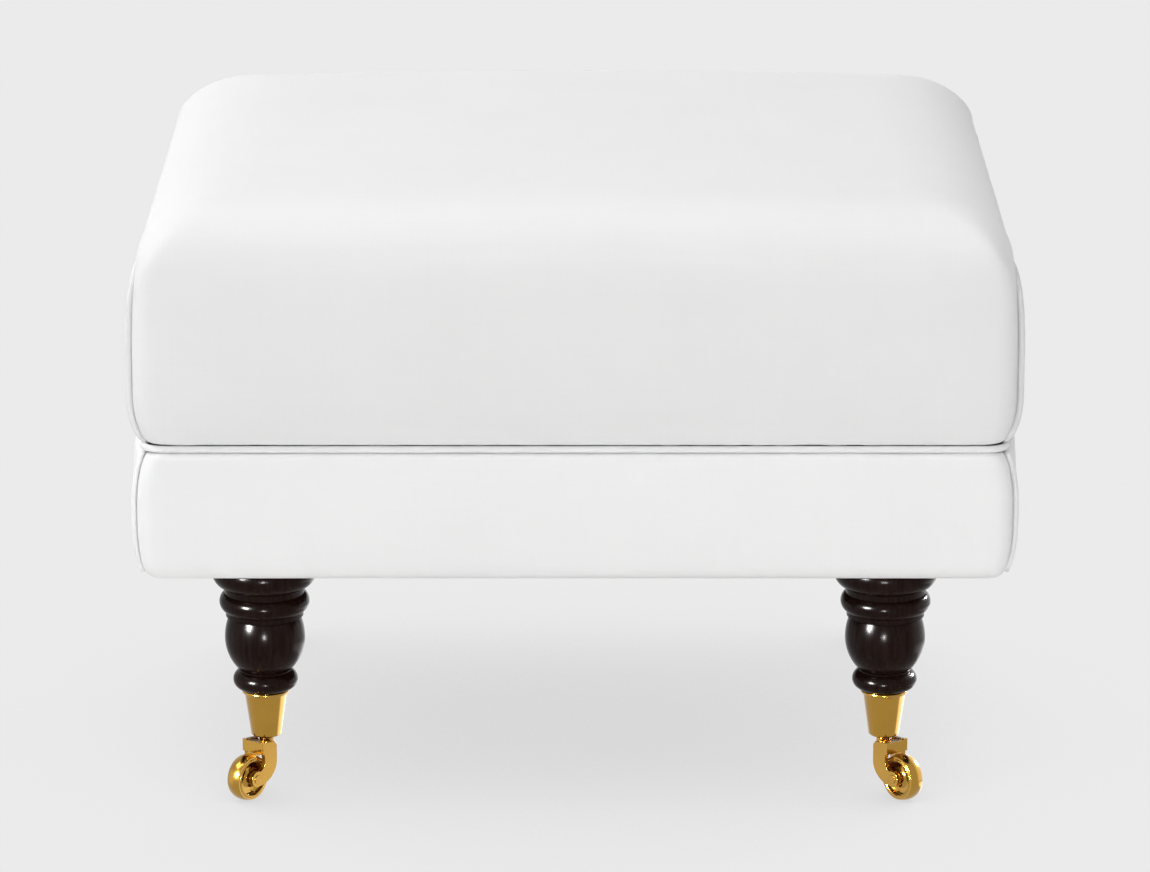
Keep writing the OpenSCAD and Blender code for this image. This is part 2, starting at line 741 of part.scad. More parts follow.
tack_head_t = 0.8;
tack_head_d = 5;
tack_shank_d = 1.6;
tack_grip = 10;
module web_tack(grow) {
    translate([0, 0, web_z - web_wave + web_t / 2 + eps]) cylinder(h = tack_head_t, d = tack_head_d);
    translate([0, 0, rail_top - tack_grip])
        cylinder(h = web_z - rail_top + tack_grip, d = tack_shank_d + 2 * grow);
}

module web_tack_set(grow) {
    side = 0.3 * web_w;
    for (i = [0:web_long_n - 1], sx = [-1, 1], d = [-side, side])
        translate([sx * (long_l / 2 - web_land / 2), long_y(i) + d, 0]) web_tack(grow);
    for (i = [0:web_cross_n - 1], sy = [-1, 1], d = [-side, side])
        translate([cross_x(i) + d, sy * (cross_l / 2 - web_land / 2), 0]) web_tack(grow);
}

module web_tacks() {
    color("dimgray") web_tack_set(0);
}

// Turned leg, with heights above the caster cup's rim
cup_mouth_r = cup_top_r - cup_wall;
cup_inner_low_r = cup_bottom_r - 0.8 * cup_wall;
pin_head_t = 1.4;
spigot_gap = 0.1;
spigot_low = cup_floor + pin_head_t + 1 - cup_h;
function spigot_r(z) =
    lerp(cup_inner_low_r, cup_mouth_r, (z + cup_h - cup_floor) / (cup_h - cup_floor)) - spigot_gap;

// A bead as a half round that stands out from the stem
module bead(r, z, round_r) {
    translate([r - round_r, z]) circle(r = round_r);
    translate([0, z - 0.8 * round_r]) square([r - round_r, 1.6 * round_r]);
}

// One flank of the ball: a long arc from its widest line
module ball_flank(arc_r, z0, z1) {
    intersection() {
        translate([ball_r - arc_r, ball_z]) circle(r = arc_r, $fn = 128);
        translate([0, z0]) square([ball_r + 1, z1 - z0]);
    }
}

module leg_profile() {
    shoulder_z = 0.3;
    shoulder_h = 5;
    low_bead_z = 7.5;
    low_bead_round = 7.2;
    neck_top = 18.5;
    low_arc = 34.3;
    low_flank_h = 24.6;
    high_arc = 42.3;
    high_flank_h = 15.4;
    fillet_t = 2.7;
    mid_bead_z = ball_z + 27.3;
    mid_bead_round = 8.3;
    top_bead_round = 12;
    top_bead_z = leg_h - 5.2;
    // Spigot in the cup, shoulder on the cup's rim, low bead and neck
    polygon([[0, spigot_low], [spigot_r(spigot_low), spigot_low], [spigot_r(0), 0],
        [spigot_r(0), shoulder_h], [0, shoulder_h]]);
    translate([0, shoulder_z]) square([cup_top_r - shoulder_z, shoulder_h]);
    bead(low_bead_r, low_bead_z, low_bead_round);
    translate([0, low_bead_z]) square([neck_r, neck_top - low_bead_z]);
    // Ball, with a fuller lower flank
    ball_flank(low_arc, ball_z - low_flank_h, ball_z + eps);
    ball_flank(high_arc, ball_z, ball_z + high_flank_h);
    // Two fillets, then the middle bead and the neck over it
    translate([0, ball_z]) square([ball_r - 0.9 - fillet_t, mid_bead_z - mid_bead_round - ball_z + 1]);
    translate([0, ball_z + high_flank_h + 1.2]) square([ball_r - 0.9, 1.5 * fillet_t]);
    bead(mid_bead_r, mid_bead_z, mid_bead_round);
    translate([0, mid_bead_z]) square([mid_bead_r - 3.6, top_bead_z - mid_bead_z]);
    // Big top bead, cut off flat under the base
    intersection() {
        bead(top_bead_r, top_bead_z, top_bead_round);
        square([top_bead_r + 1, leg_h]);
    }
}

module leg(c) {
    color(DARK)
        translate([c[0] * leg_x, c[1] * leg_y, 0])
            difference() {
                translate([0, 0, cup_top]) rotate_extrude() leg_profile();
                translate([0, 0, leg_top - bolt_in - 2]) cylinder(h = bolt_in + 3, d = bolt_d + 2 * fixed_gap);
                cup_screw(c, fixed_gap);
            }
}

// Caster cup: a round tapered cup with a rolled rim
module cup_profile() {
    chamfer = 1;
    difference() {
        union() {
            polygon([[0, 0], [cup_bottom_r - chamfer, 0], [cup_bottom_r, chamfer],
                [cup_top_r, cup_h - chamfer], [cup_top_r, cup_h], [0, cup_h]]);
            translate([cup_top_r, cup_h - cup_lip_r]) circle(r = cup_lip_r);
        }
        polygon([[0, cup_floor], [cup_inner_low_r, cup_floor], [cup_mouth_r, cup_h],
            [cup_mouth_r, cup_h + 1], [0, cup_h + 1]]);
    }
}

// The cup's screw goes in from the side that faces the middle of the stool
module cup_screw(c, grow) {
    height = 0.47 * cup_h;
    shank_l = 8.6;
    shank_d = 3;
    head_h = 2;
    outside = lerp(cup_bottom_r, cup_top_r, height / cup_h);
    translate([0, 0, cup_z + height])
        rotate([90 * c[1], 0, 0])
            translate([0, 0, outside - head_h / 2]) {
                translate([0, 0, -shank_l + head_h / 2]) cylinder(h = shank_l, d = shank_d + 2 * grow);
                cylinder(h = head_h, d = 1.8 * shank_d + 2 * grow);
            }
}

module caster_cup(c) {
    color(BRASS)
        translate([c[0] * leg_x, c[1] * leg_y, 0])
            difference() {
                translate([0, 0, cup_z]) rotate_extrude() cup_profile();
                translate([0, 0, cup_z - 1]) cylinder(h = cup_floor + 2, d = pin_d + 2 * fixed_gap);
                cup_screw(c, fixed_gap);
            }
}

module cup_screws() {
    color(BRASS)
        for (c = CORNERS) translate([c[0] * leg_x, c[1] * leg_y, 0]) cup_screw(c, 0);
}

// Swivel pins: riveted in the cup's floor, with a collar above the fork and a head below it
pin_clear = 0.15;
crown_low = fork_top - crown_t;
collar_r = 0.875 * pin_d;
module pin_profile() {
    pin_r = pin_d / 2;
    head_r = 1.5 * pin_r;
    pin_low = crown_low - pin_clear - pin_head_t;
    translate([0, pin_low]) square([pin_r, cup_z + cup_floor + pin_head_t - pin_low]);
    translate([0, pin_low]) square([head_r, pin_head_t]);
    translate([0, fork_top + pin_clear]) square([collar_r, collar_h - pin_clear - eps]);
    translate([0, cup_z + cup_floor + eps]) square([head_r, pin_head_t]);
}

module swivel_pins() {
    color(BRASS)
        for (c = CORNERS)
            translate([c[0] * leg_x, c[1] * leg_y, 0])
                rotate_extrude() pin_profile();
}

// Everything on the fork is drawn with the trail along +X and the axle along Y
module at_caster(c) {
    turn = c[0] > 0 ? -90 + caster_turn : -90 - caster_turn;
    translate([c[0] * leg_x, c[1] * leg_y, 0]) rotate([0, 0, turn]) children();
}

fork_half_w = wheel_w / 2 + wheel_gap + cheek_t;
cheek_end_r = 6;

horn_nose = 2.2;
horn_nose_drop = 0.8;
horn_start = 6.8;

// Top of the horn, which rises along the trail
function horn_z(x) = fork_top + horn_rise * lerp(0.57, 1, (x - horn_nose) / (crown_l - horn_nose));

// Outline of a fork cheek: x along the trail, y up
module cheek_outline() {
    heel = [0, fork_top - 12.6];
    heel_pull = [0, -8];
    under = [trail - 2, axle_z - cheek_end_r + 0.3];
    under_pull = [-11, 0];
    over = [trail - 3, axle_z + cheek_end_r - 0.8];
    over_pull = [-4, 0.9];
    throat = [crown_l - 1.6, crown_low];
    throat_pull = [-1.6, -8];
    polygon(concat(
        [[0, fork_top - horn_nose_drop]],
        bezier(heel, heel + heel_pull, under + under_pull, under, 14),
        [[trail, axle_z]],
        bezier(over, over + over_pull, throat + throat_pull, throat, 8),
        [[crown_l, crown_low], [crown_l, horn_z(crown_l)], [horn_nose, horn_z(horn_nose)]]
    ));
    translate([trail, axle_z]) circle(r = cheek_end_r);
}

bridge_x = 1.5;
bridge_half_w = fork_half_w - cheek_t / 2;

// Crown: a boss with a sloped shoulder round the pin, haunches and the bridge between the cheeks
module fork_crown() {
    shoulder = boss_r - collar_r - 0.1;
    shoulder_low = crown_t - 1.2 * shoulder;
    haunch = (boss_r - 0.5) * [cos(120), sin(120)];
    haunch_in = 0.4;
    translate([0, 0, crown_low])
        rotate_extrude()
            polygon([[0, 0], [boss_r, 0], [boss_r, shoulder_low], [boss_r - shoulder, crown_t], [0, crown_t]]);
    translate([0, 0, crown_low])
        linear_extrude(crown_t - shoulder)
            for (sy = [-1, 1])
                polygon([[0, 0], [haunch[0], sy * haunch[1]], [haunch_in, sy * (fork_half_w - haunch_in)],
                    [2 * bridge_x, sy * (fork_half_w - haunch_in)], [2 * bridge_x, 0]]);
    translate([bridge_x, -bridge_half_w, crown_low]) cube([crown_l - bridge_x, 2 * bridge_half_w, crown_t]);
}

// The horn between the cheeks, behind the collar, with its top a little below theirs
module horn_outline() {
    low = 0.5;
    polygon([[horn_start, crown_low + 1], [crown_l, crown_low + 1], [crown_l, horn_z(crown_l) - low],
        [horn_start + 1, horn_z(horn_start + 1) - low], [horn_start, fork_top - 1]]);
}

// Stands a side outline up along the trail, with its thickness centred on a line across
module upright(across, thickness) {
    translate([0, across + thickness / 2, 0]) rotate([90, 0, 0]) linear_extrude(thickness) children();
}

module caster_fork(c) {
    color(BRASS)
        at_caster(c)
            difference() {
                union() {
                    fork_crown();
                    for (sy = [-1, 1])
                        upright(sy * (fork_half_w - cheek_t / 2), cheek_t) cheek_outline();
                    upright(0, 2 * bridge_half_w) horn_outline();
                }
                translate([0, 0, crown_low - 1]) cylinder(h = crown_t + 2, d = pin_d + 2 * run_gap);
                translate([trail, -fork_half_w - 1, axle_z])
                    rotate([-90, 0, 0]) cylinder(h = 2 * fork_half_w + 2, d = axle_d + 2 * fixed_gap);
            }
}

// Wheel: crowned tread, raised rims and a deep dished web, as [radius, along the axle]
module wheel_profile() {
    r = wheel_d / 2;
    half = wheel_w / 2;
    rim_t = 4.6;
    rim_in = r - rim_t;
    lip_r = 1;
    tread_arc = 12;
    bore_r = axle_d / 2 + run_gap;
    hub_r = axle_d / 2 + 2.6;
    hub_half = half + 0.6 * wheel_gap;
    disc_t = 2.8;
    cove_r = 6;
    // Tread and the rolled lips on both sides of it
    intersection() {
        translate([r - tread_arc, 0]) circle(r = tread_arc);
        translate([rim_in, lip_r / 2 - half]) square([rim_t, wheel_w - lip_r]);
    }
    for (sy = [-1, 1])
        translate([rim_in + lip_r, sy * (half - lip_r)]) circle(r = lip_r);
    // Web and hub
    translate([bore_r, -disc_t / 2]) square([rim_in + 1 - bore_r, disc_t]);
    translate([bore_r, -hub_half]) square([hub_r - bore_r, 2 * hub_half]);
    // Coves where the web meets hub and rim
    difference() {
        translate([hub_r - 0.5, -disc_t]) square([rim_in - hub_r + 1, 2 * disc_t]);
        for (sy = [-1, 1])
            translate([(hub_r + rim_in) / 2, sy * (disc_t / 2 + cove_r)]) circle(r = cove_r);
    }
}

module caster_wheel(c) {
    color(BRASS)
        at_caster(c)
            translate([trail, 0, axle_z])
                rotate([90, 0, 0])
                    rotate_extrude() wheel_profile();
}

module caster_axle(c) {
    head_t = 0.4;
    color(BRASS)
        at_caster(c)
            translate([trail, 0, axle_z])
                rotate([90, 0, 0])
                    rotate_extrude() {
                        translate([0, -fork_half_w - head_t]) square([axle_d / 2, 2 * (fork_half_w + head_t)]);
                        for (y = [fork_half_w + eps, -fork_half_w - head_t - eps])
                            translate([0, y]) square([0.8 * axle_d, head_t]);
                    }
}

seat_panel();
seat_side(-1);  // seat_side_left
seat_side(1);  // seat_side_right
seat_piping(-1);  // seat_piping_left
seat_piping(1);  // seat_piping_right
seat_foam();
felt_pad();
deck_piping();
base_panel(-1);  // base_panel_front
base_panel(1);  // base_panel_back
base_side(-1);  // base_side_left
base_side(1);  // base_side_right
corner_piping(FL);  // corner_piping_front_left
corner_piping(FR);  // corner_piping_front_right
corner_piping(BL);  // corner_piping_back_left
corner_piping(BR);  // corner_piping_back_right
dust_cover();
front_or_back_rail(-1);  // front_rail
front_or_back_rail(1);  // back_rail
side_rail(-1);  // left_rail
side_rail(1);  // right_rail
corner_block(FL);  // corner_block_front_left
corner_block(FR);  // corner_block_front_right
corner_block(BL);  // corner_block_back_left
corner_block(BR);  // corner_block_back_right
web_long(0);  // web_long_1
web_long(1);  // web_long_2
web_long(2);  // web_long_3
web_cross(0);  // web_cross_1
web_cross(1);  // web_cross_2
web_cross(2);  // web_cross_3
web_cross(3);  // web_cross_4
leg(FL);  // leg_front_left
leg(FR);  // leg_front_right
leg(BL);  // leg_back_left
leg(BR);  // leg_back_right
hanger_bolts();
leg_nuts();
block_screws();
rail_dowels();
web_tacks();
caster_cup(FL);  // caster_cup_front_left
caster_cup(FR);  // caster_cup_front_right
caster_cup(BL);  // caster_cup_back_left
caster_cup(BR);  // caster_cup_back_right
cup_screws();
swivel_pins();
caster_fork(FL);  // caster_fork_front_left
caster_fork(FR);  // caster_fork_front_right
caster_fork(BL);  // caster_fork_back_left
caster_fork(BR);  // caster_fork_back_right
caster_wheel(FL);  // caster_wheel_front_left
caster_wheel(FR);  // caster_wheel_front_right
caster_wheel(BL);  // caster_wheel_back_left
caster_wheel(BR);  // caster_wheel_back_right
caster_axle(FL);  // caster_axle_front_left
caster_axle(FR);  // caster_axle_front_right
caster_axle(BL);  // caster_axle_back_left
caster_axle(BR);  // caster_axle_back_right
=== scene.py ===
import json
import math

import bmesh
import bpy
import numpy as np
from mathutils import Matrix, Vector


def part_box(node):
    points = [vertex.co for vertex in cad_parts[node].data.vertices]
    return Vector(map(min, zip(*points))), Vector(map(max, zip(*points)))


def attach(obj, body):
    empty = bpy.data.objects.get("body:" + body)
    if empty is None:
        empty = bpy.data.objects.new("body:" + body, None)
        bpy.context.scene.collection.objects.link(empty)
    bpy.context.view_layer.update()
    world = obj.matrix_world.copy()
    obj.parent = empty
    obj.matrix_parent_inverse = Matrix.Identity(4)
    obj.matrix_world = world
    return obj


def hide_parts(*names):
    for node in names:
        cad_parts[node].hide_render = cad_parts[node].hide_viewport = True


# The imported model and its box, before anything is added
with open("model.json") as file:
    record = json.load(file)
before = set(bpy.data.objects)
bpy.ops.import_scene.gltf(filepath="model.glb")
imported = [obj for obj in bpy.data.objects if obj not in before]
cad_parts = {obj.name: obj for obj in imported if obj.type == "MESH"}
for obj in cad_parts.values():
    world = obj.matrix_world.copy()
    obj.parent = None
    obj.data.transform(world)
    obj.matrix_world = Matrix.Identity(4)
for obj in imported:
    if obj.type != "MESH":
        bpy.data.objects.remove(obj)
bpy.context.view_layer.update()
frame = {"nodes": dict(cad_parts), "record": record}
ROOT = "stool"

# Camera, fitted to the photograph: its width and the focal length are in its pixels
PHOTO_W = 1150
FOCAL_PX = 5900
SENSOR_MM = 36
CAMERA_PLACE = (0, -4.3003, 1.4066)
CAMERA_TILT = math.radians(74.547)

# Piping, and the gap between it and the covers that it lies against
PIPING_R = 0.0025
SOFT_GAP = 0.0003
RIM = PIPING_R + SOFT_GAP
# How far the cords of the upright seams stand out from the edges of the seat's and the base's covers
CORD_OUT = 0.0023
BASE_CORD_OUT = 0.0016

# Seat form, in metres, as in the construction. A tuck is the width and height of a seam's draw-in,
# and a roll is the width of the rounding between a seam and the panel's face.
SEAT_LOW, SEAT_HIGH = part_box("seat_panel")
SEAT_HALF_W = SEAT_HIGH.x
SEAT_HALF_D = 0.245
SEAT_Z = SEAT_LOW.z
SEAT_EDGE_Z = 0.452
TOP_R = 0.045
BOTTOM_R = 0.0065
SEAT_ROLL_W = 0.018
SEAT_ROLL_D = 0.012
SEAM_R = 0.025
CORNER_TUCK = (0.014, 0.035)
SIDE_TUCK = (0.007, 0.032)
TOP_TUCK = (0.008, 0.060)
TOP_ROLL_W = 0.056
OVERHANG = 0.0045
SIDE_STEP = 0.002
SIDE_SWELL = 0.002
FACE_SWELL = 0.003
TOP_CROWN = 0.006
CROWN_GROWTH = 0.3

# Base form. A turn is how far a panel reaches under the base or over the deck.
BASE_LOW, BASE_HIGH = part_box("base_panel_front")
BASE_HALF_W = BASE_HIGH.x + 0.0024
BASE_HALF_D = 0.2435
BASE_Z = BASE_LOW.z
BASE_TOP = BASE_HIGH.z
BASE_BOTTOM_R = 0.012
BASE_TOP_R = 0.0055
BASE_ROLL_W = 0.013
BASE_ROLL_D = 0.009
BASE_TUCK = (0.011, 0.042)
BASE_SWELL = 0.002
BASE_SIDE_OUT = 0.005
UNDER_TURN = 0.015
# How much further the side panels turn under, to reach the dust cover
SIDE_TURN = 0.011
DECK_TURN = 0.006
SKIN_T = 0.003
BASE_SEAM_LOW = BASE_Z + 0.005
BASE_SEAM_HIGH = BASE_TOP - 0.001
BASE_SEAM_IN = BASE_ROLL_D + RIM

# Deck piping: half sizes of its centre line
DECK_HALF_W = SEAT_HALF_W - 0.0065
DECK_HALF_D = SEAT_HALF_D - 0.0055
DECK_Z = sum(p.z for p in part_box("deck_piping")) / 2
DECK_CORNER_R = 0.015


# Small helpers
def lerp(a, b, t):
    return a + (b - a) * t


def ease(t):
    return t * t * (3 - 2 * t)


def draw_in(up, width, height):
    """Draw-in of a seam at a height above its end: a quarter ellipse."""
    if up >= height:
        return 0.0
    return width * (1 - math.sqrt(1 - (1 - max(up, 0) / height) ** 2))


def pillow(u):
    """Rise of a padded panel across a span from -1 to 1, steep at its ends."""
    return math.sqrt(max(0, 1 - abs(u) ** 8))


def mesh_object(name, verts, faces):
    mesh = bpy.data.meshes.new(name)
    mesh.from_pydata([tuple(v) for v in verts], [], faces)
    mesh.update()
    obj = bpy.data.objects.new(name, mesh)
    bpy.context.scene.collection.objects.link(obj)
    return obj


def grid_faces(rows, cols, start=0, wrap=False):
    """Quads of a grid of points stored row by row; wrap joins the last column to the first."""
    faces = []
    for i in range(rows - 1):
        for j in range(cols if wrap else cols - 1):
            k = (j + 1) % cols
            a = start + i * cols
            faces.append((a + j, a + k, a + cols + k, a + cols + j))
    return faces


def tidy_mesh(obj, weld=0.0):
    """Joins points that coincide and turns all faces outwards."""
    bm = bmesh.new()
    bm.from_mesh(obj.data)
    if weld:
        bmesh.ops.remove_doubles(bm, verts=bm.verts, dist=weld)
    bmesh.ops.recalc_face_normals(bm, faces=bm.faces)
    bm.to_mesh(obj.data)
    bm.free()


def shell_object(name, outer, inner):
    """A closed skin between an outer and an inner grid of points."""
    rings = [np.vstack((a, b[::-1])) for a, b in zip(outer, inner)]
    cols = len(rings[0])
    faces = grid_faces(len(rings), cols, wrap=True)
    for first in (0, (len(rings) - 1) * cols):
        for j in range(cols // 2 - 1):
            faces.append((first + j, first + j + 1, first + cols - 2 - j, first + cols - 1 - j))
    obj = mesh_object(name, np.vstack(rings), faces)
    tidy_mesh(obj)
    return obj


def ripple(count, pitch, rng):
    """Smooth noise of about -1 to 1 at count places, with a wave every pitch places or so."""
    knots = rng.uniform(-1, 1, int(count / pitch) + 3)
    place = np.arange(count) / pitch
    k = place.astype(int)
    t = place - k
    return lerp(knots[k], knots[k + 1], ease(t))


def evenly(path, step):
    """The same line with its points a step apart."""
    path = np.array(path)
    along = np.concatenate(([0], np.cumsum(np.linalg.norm(np.diff(path, axis=0), axis=1))))
    places = np.linspace(0, along[-1], int(along[-1] / step) + 2)
    return np.column_stack([np.interp(places, along, path[:, k]) for k in range(3)])


# Cords: step along the path, sides, and unevenness as a share of the radius
CORD_STEP = 0.003
CORD_SIDES = 12
CORD_UNEVEN = 0.022


def cord_object(name, path, across, seed, closed=False):
    """A covered cord along a path; across is a direction that the path never takes."""
    path = evenly(path, CORD_STEP)
    rng = np.random.default_rng(seed)
    if closed:
        path = path[:-1]
        tangent = np.roll(path, -1, 0) - np.roll(path, 1, 0)
    else:
        tangent = np.gradient(path, axis=0)
    tangent /= np.linalg.norm(tangent, axis=1)[:, None]
    side = np.cross(tangent, across)
    side /= np.linalg.norm(side, axis=1)[:, None]
    top = np.cross(side, tangent)
    swell = PIPING_R * (1 + CORD_UNEVEN * ripple(len(path), 3, rng))
    if closed:
        swell[-6:] = lerp(swell[-6:], swell[0], np.linspace(0, 1, 6))
    rings = [path + swell[:, None] * (math.cos(a) * side + math.sin(a) * top)
             for a in 2 * math.pi * np.arange(CORD_SIDES) / CORD_SIDES]
    verts = np.stack(rings, axis=1).reshape(-1, 3)
    faces = grid_faces(len(path), CORD_SIDES, wrap=True)
    last = (len(path) - 1) * CORD_SIDES
    if closed:
        faces += [(last + j, last + (j + 1) % CORD_SIDES, (j + 1) % CORD_SIDES, j) for j in range(CORD_SIDES)]
    else:
        faces += [tuple(range(CORD_SIDES)), tuple(range(last, last + CORD_SIDES))]
    obj = mesh_object(name, verts, faces)
    tidy_mesh(obj)
    return obj


def shade(obj, smooth):
    obj.data.polygons.foreach_set("use_smooth", [smooth] * len(obj.data.polygons))
    obj.data.update()


def dress(obj, material):
    obj.data.materials.clear()
    obj.data.materials.append(material)


def finish_piece(obj, material, replaced=(), smooth=True):
    """Gives a new piece its material, puts it on the stool's body, and hides the nodes that it stands for."""
    dress(obj, material)
    shade(obj, smooth)
    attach(obj, ROOT)
    if replaced:
        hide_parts(*replaced)


def applied(obj):
    """Applies the modifiers of an object to its mesh."""
    shape = obj.evaluated_get(bpy.context.evaluated_depsgraph_get())
    mesh = bpy.data.meshes.new_from_object(shape)
    obj.modifiers.clear()
    obj.data = mesh


def subdivide(obj):
    mod = obj.modifiers.new("smooth", "SUBSURF")
    mod.levels = 1
    mod.render_levels = 1
    applied(obj)


def get_points(obj, kind="co"):
    """Places of an object's points, or with kind "normal" their normals."""
    values = np.empty(len(obj.data.vertices) * 3)
    obj.data.vertices.foreach_get(kind, values)
    return values.reshape(-1, 3)


def set_points(obj, points):
    obj.data.vertices.foreach_set("co", points.ravel())
    obj.data.update()


# Step along a seam's line, in metres, and the gathers' waves, in steps
SEAM_LINE_STEP = 0.002
GATHER_PITCH = 4.5
GATHER_DRIFT = 40
POINTS_AT_ONCE = 2000


def nearest(points, line):
    """For each point, its distance to the closest point of a line and that point's place on it."""
    apart = np.empty(len(points))
    place = np.empty(len(points), int)
    for first in range(0, len(points), POINTS_AT_ONCE):
        part = slice(first, first + POINTS_AT_ONCE)
        gaps = np.linalg.norm(points[part, None, :] - line[None, :, :], axis=2)
        place[part] = gaps.argmin(1)
        apart[part] = gaps.min(1)
    return apart, place


def pucker(obj, seams, depth, reach, seed):
    """Small gathers along seams: dents that fade out at reach from the seam."""
    rng = np.random.default_rng(seed)
    points, normals = get_points(obj), get_points(obj, "normal")
    for seam in seams:
        line = evenly(seam, SEAM_LINE_STEP)
        wave = 0.5 * ripple(len(line), GATHER_PITCH, rng)
        gather = 0.5 + wave * (0.6 + 0.4 * ripple(len(line), GATHER_DRIFT, rng))
        low, high = line.min(0) - reach, line.max(0) + reach
        near = np.where(((points > low) & (points < high)).all(1))[0]
        apart, place = nearest(points[near], line)
        fade = np.clip(1 - apart / reach, 0, 1) ** 1.5
        points[near] -= normals[near] * (depth * fade * gather[place])[:, None]
    set_points(obj, points)


# Camera
def make_camera():
    data = bpy.data.cameras.new("camera")
    data.sensor_width = SENSOR_MM
    data.lens = SENSOR_MM * FOCAL_PX / PHOTO_W
    camera = bpy.data.objects.new("camera", data)
    bpy.context.scene.collection.objects.link(camera)
    camera.location = CAMERA_PLACE
    camera.rotation_euler = (CAMERA_TILT, 0, 0)
    bpy.context.scene.camera = camera


# Lamps stand round a point in the middle of the stool
LAMP_DISTANCE = 4.0
LAMP_AIM = Vector((0, 0, 0.25))


def softbox(name, direction, size, level, matt=True, gloss=True):
    """A lamp that lights a surface facing it with the given level, where 1 is full white.
    It shows in matt surfaces, in gloss or in both."""
    data = bpy.data.lights.new(name, "AREA")
    data.shape = "SQUARE" if matt else "DISK"
    data.size = size
    data.energy = level * (math.pi * LAMP_DISTANCE) ** 2
    lamp = bpy.data.objects.new(name, data)
    bpy.context.scene.collection.objects.link(lamp)
    away = Vector(direction).normalized()
    lamp.location = LAMP_AIM + away * LAMP_DISTANCE
    lamp.rotation_euler = away.to_track_quat("Z", "Y").to_euler()
    lamp.visible_camera = False
    lamp.visible_diffuse = matt
    lamp.visible_glossy = gloss


# Shader nodes
def new_material(name):
    material = bpy.data.materials.new(name)
    material.use_nodes = True
    tree = material.node_tree
    return material, tree, tree.nodes["Principled BSDF"]


def add_node(tree, kind, settings=None, **inputs):
    """Adds a shader node. Settings are its properties, and inputs are values or links for its sockets,
    which are named, or numbered as i0, i1 and so on."""
    node = tree.nodes.new(kind)
    for key, value in (settings or {}).items():
        setattr(node, key, value)
    for key, value in inputs.items():
        numbered = key[0] == "i" and key[1:].isdigit()
        socket = node.inputs[int(key[1:]) if numbered else key]
        if isinstance(value, bpy.types.NodeSocket):
            tree.links.new(value, socket)
        else:
            socket.default_value = value
    return node


def maths(tree, operation, *values):
    inputs = {f"i{k}": v for k, v in enumerate(values)}
    return add_node(tree, "ShaderNodeMath", {"operation": operation}, **inputs).outputs[0]


def remap(tree, value, low, high, start, end, how="LINEAR"):
    """A value between low and high as one between start and end."""
    return add_node(tree, "ShaderNodeMapRange", {"interpolation_type": how},
                    Value=value, i1=low, i2=high, i3=start, i4=end).outputs[0]


def ramp_up(tree, value, low, high, start=0.0, end=1.0):
    """A soft step of a value between low and high, from start to end."""
    return remap(tree, value, low, high, start, end, "SMOOTHSTEP")


def split(tree, vector):
    """The three parts of a vector."""
    return add_node(tree, "ShaderNodeSeparateXYZ", Vector=vector).outputs


def object_place(tree):
    return add_node(tree, "ShaderNodeTexCoord").outputs["Object"]


def noise(tree, place, scale, detail):
    return add_node(tree, "ShaderNodeTexNoise", Vector=place, Scale=scale, Detail=detail).outputs[0]


def stretched_noise(tree, place, stretch, detail):
    """Noise at a place that is first scaled along each axis."""
    scaled = add_node(tree, "ShaderNodeMapping", Vector=place, Scale=stretch).outputs[0]
    return noise(tree, scaled, 1.0, detail)


def two_tones(tree, shader, value, dark, light, low=0.0, high=1.0):
    """Base colour that goes from dark to light as a value goes from low to high."""
    ramp = add_node(tree, "ShaderNodeValToRGB", Fac=value)
    for stop, place, tone in zip(ramp.color_ramp.elements, (low, high), (dark, light)):
        stop.position = place
        stop.color = (*tone, 1)
    tree.links.new(ramp.outputs[0], shader.inputs["Base Color"])


def add_bump(tree, shader, height, strength, distance):
    bump = add_node(tree, "ShaderNodeBump", Strength=strength, Distance=distance, Height=height)
    tree.links.new(bump.outputs[0], shader.inputs["Normal"])


# World: levels of the backdrop, of the dome that lights the stool, and of the dome's right as a share of it
WHITE = (1, 1, 1, 1)
PALE = 0.83
DOME = 0.68
RIGHT_DIM = 0.15
RIGHT_EDGE = (0.1, 0.7)
# What gloss sees besides the backdrop, as levels and edges: a strip low behind on the right,
# a glow above the strip, and a patch on the left
BEHIND = math.radians(40)
STRIP_LEVEL = 1.8
STRIP_LOW, STRIP_HIGH = (-0.53, -0.48), (-0.36, -0.31)
STRIP_SIDE = (0.70, 0.78)
GLOW_LEVEL = 0.9
GLOW_LOW = (-0.34, -0.2)
GLOW_SIDE = (0.55, 0.8)
PATCH_LEVEL = 0.4
PATCH_EDGE = (-0.97, -0.85)


def gloss_world(tree, axes):
    """Level of the world as gloss sees it."""
    aside = maths(tree, "MULTIPLY_ADD", axes[0], math.cos(BEHIND),
                  maths(tree, "MULTIPLY", axes[1], math.sin(BEHIND)))
    strip = maths(tree, "MULTIPLY", ramp_up(tree, axes[2], *STRIP_LOW),
                  ramp_up(tree, axes[2], *STRIP_HIGH, 1.0, 0.0))
    strip = maths(tree, "MULTIPLY", strip, ramp_up(tree, aside, *STRIP_SIDE))
    glow = maths(tree, "MULTIPLY", ramp_up(tree, axes[2], *GLOW_LOW), ramp_up(tree, aside, *GLOW_SIDE))
    level = maths(tree, "MULTIPLY_ADD", glow, GLOW_LEVEL, PALE)
    level = maths(tree, "MULTIPLY_ADD", strip, STRIP_LEVEL, level)
    return maths(tree, "ADD", level, ramp_up(tree, axes[0], *PATCH_EDGE, PATCH_LEVEL, 0.0))


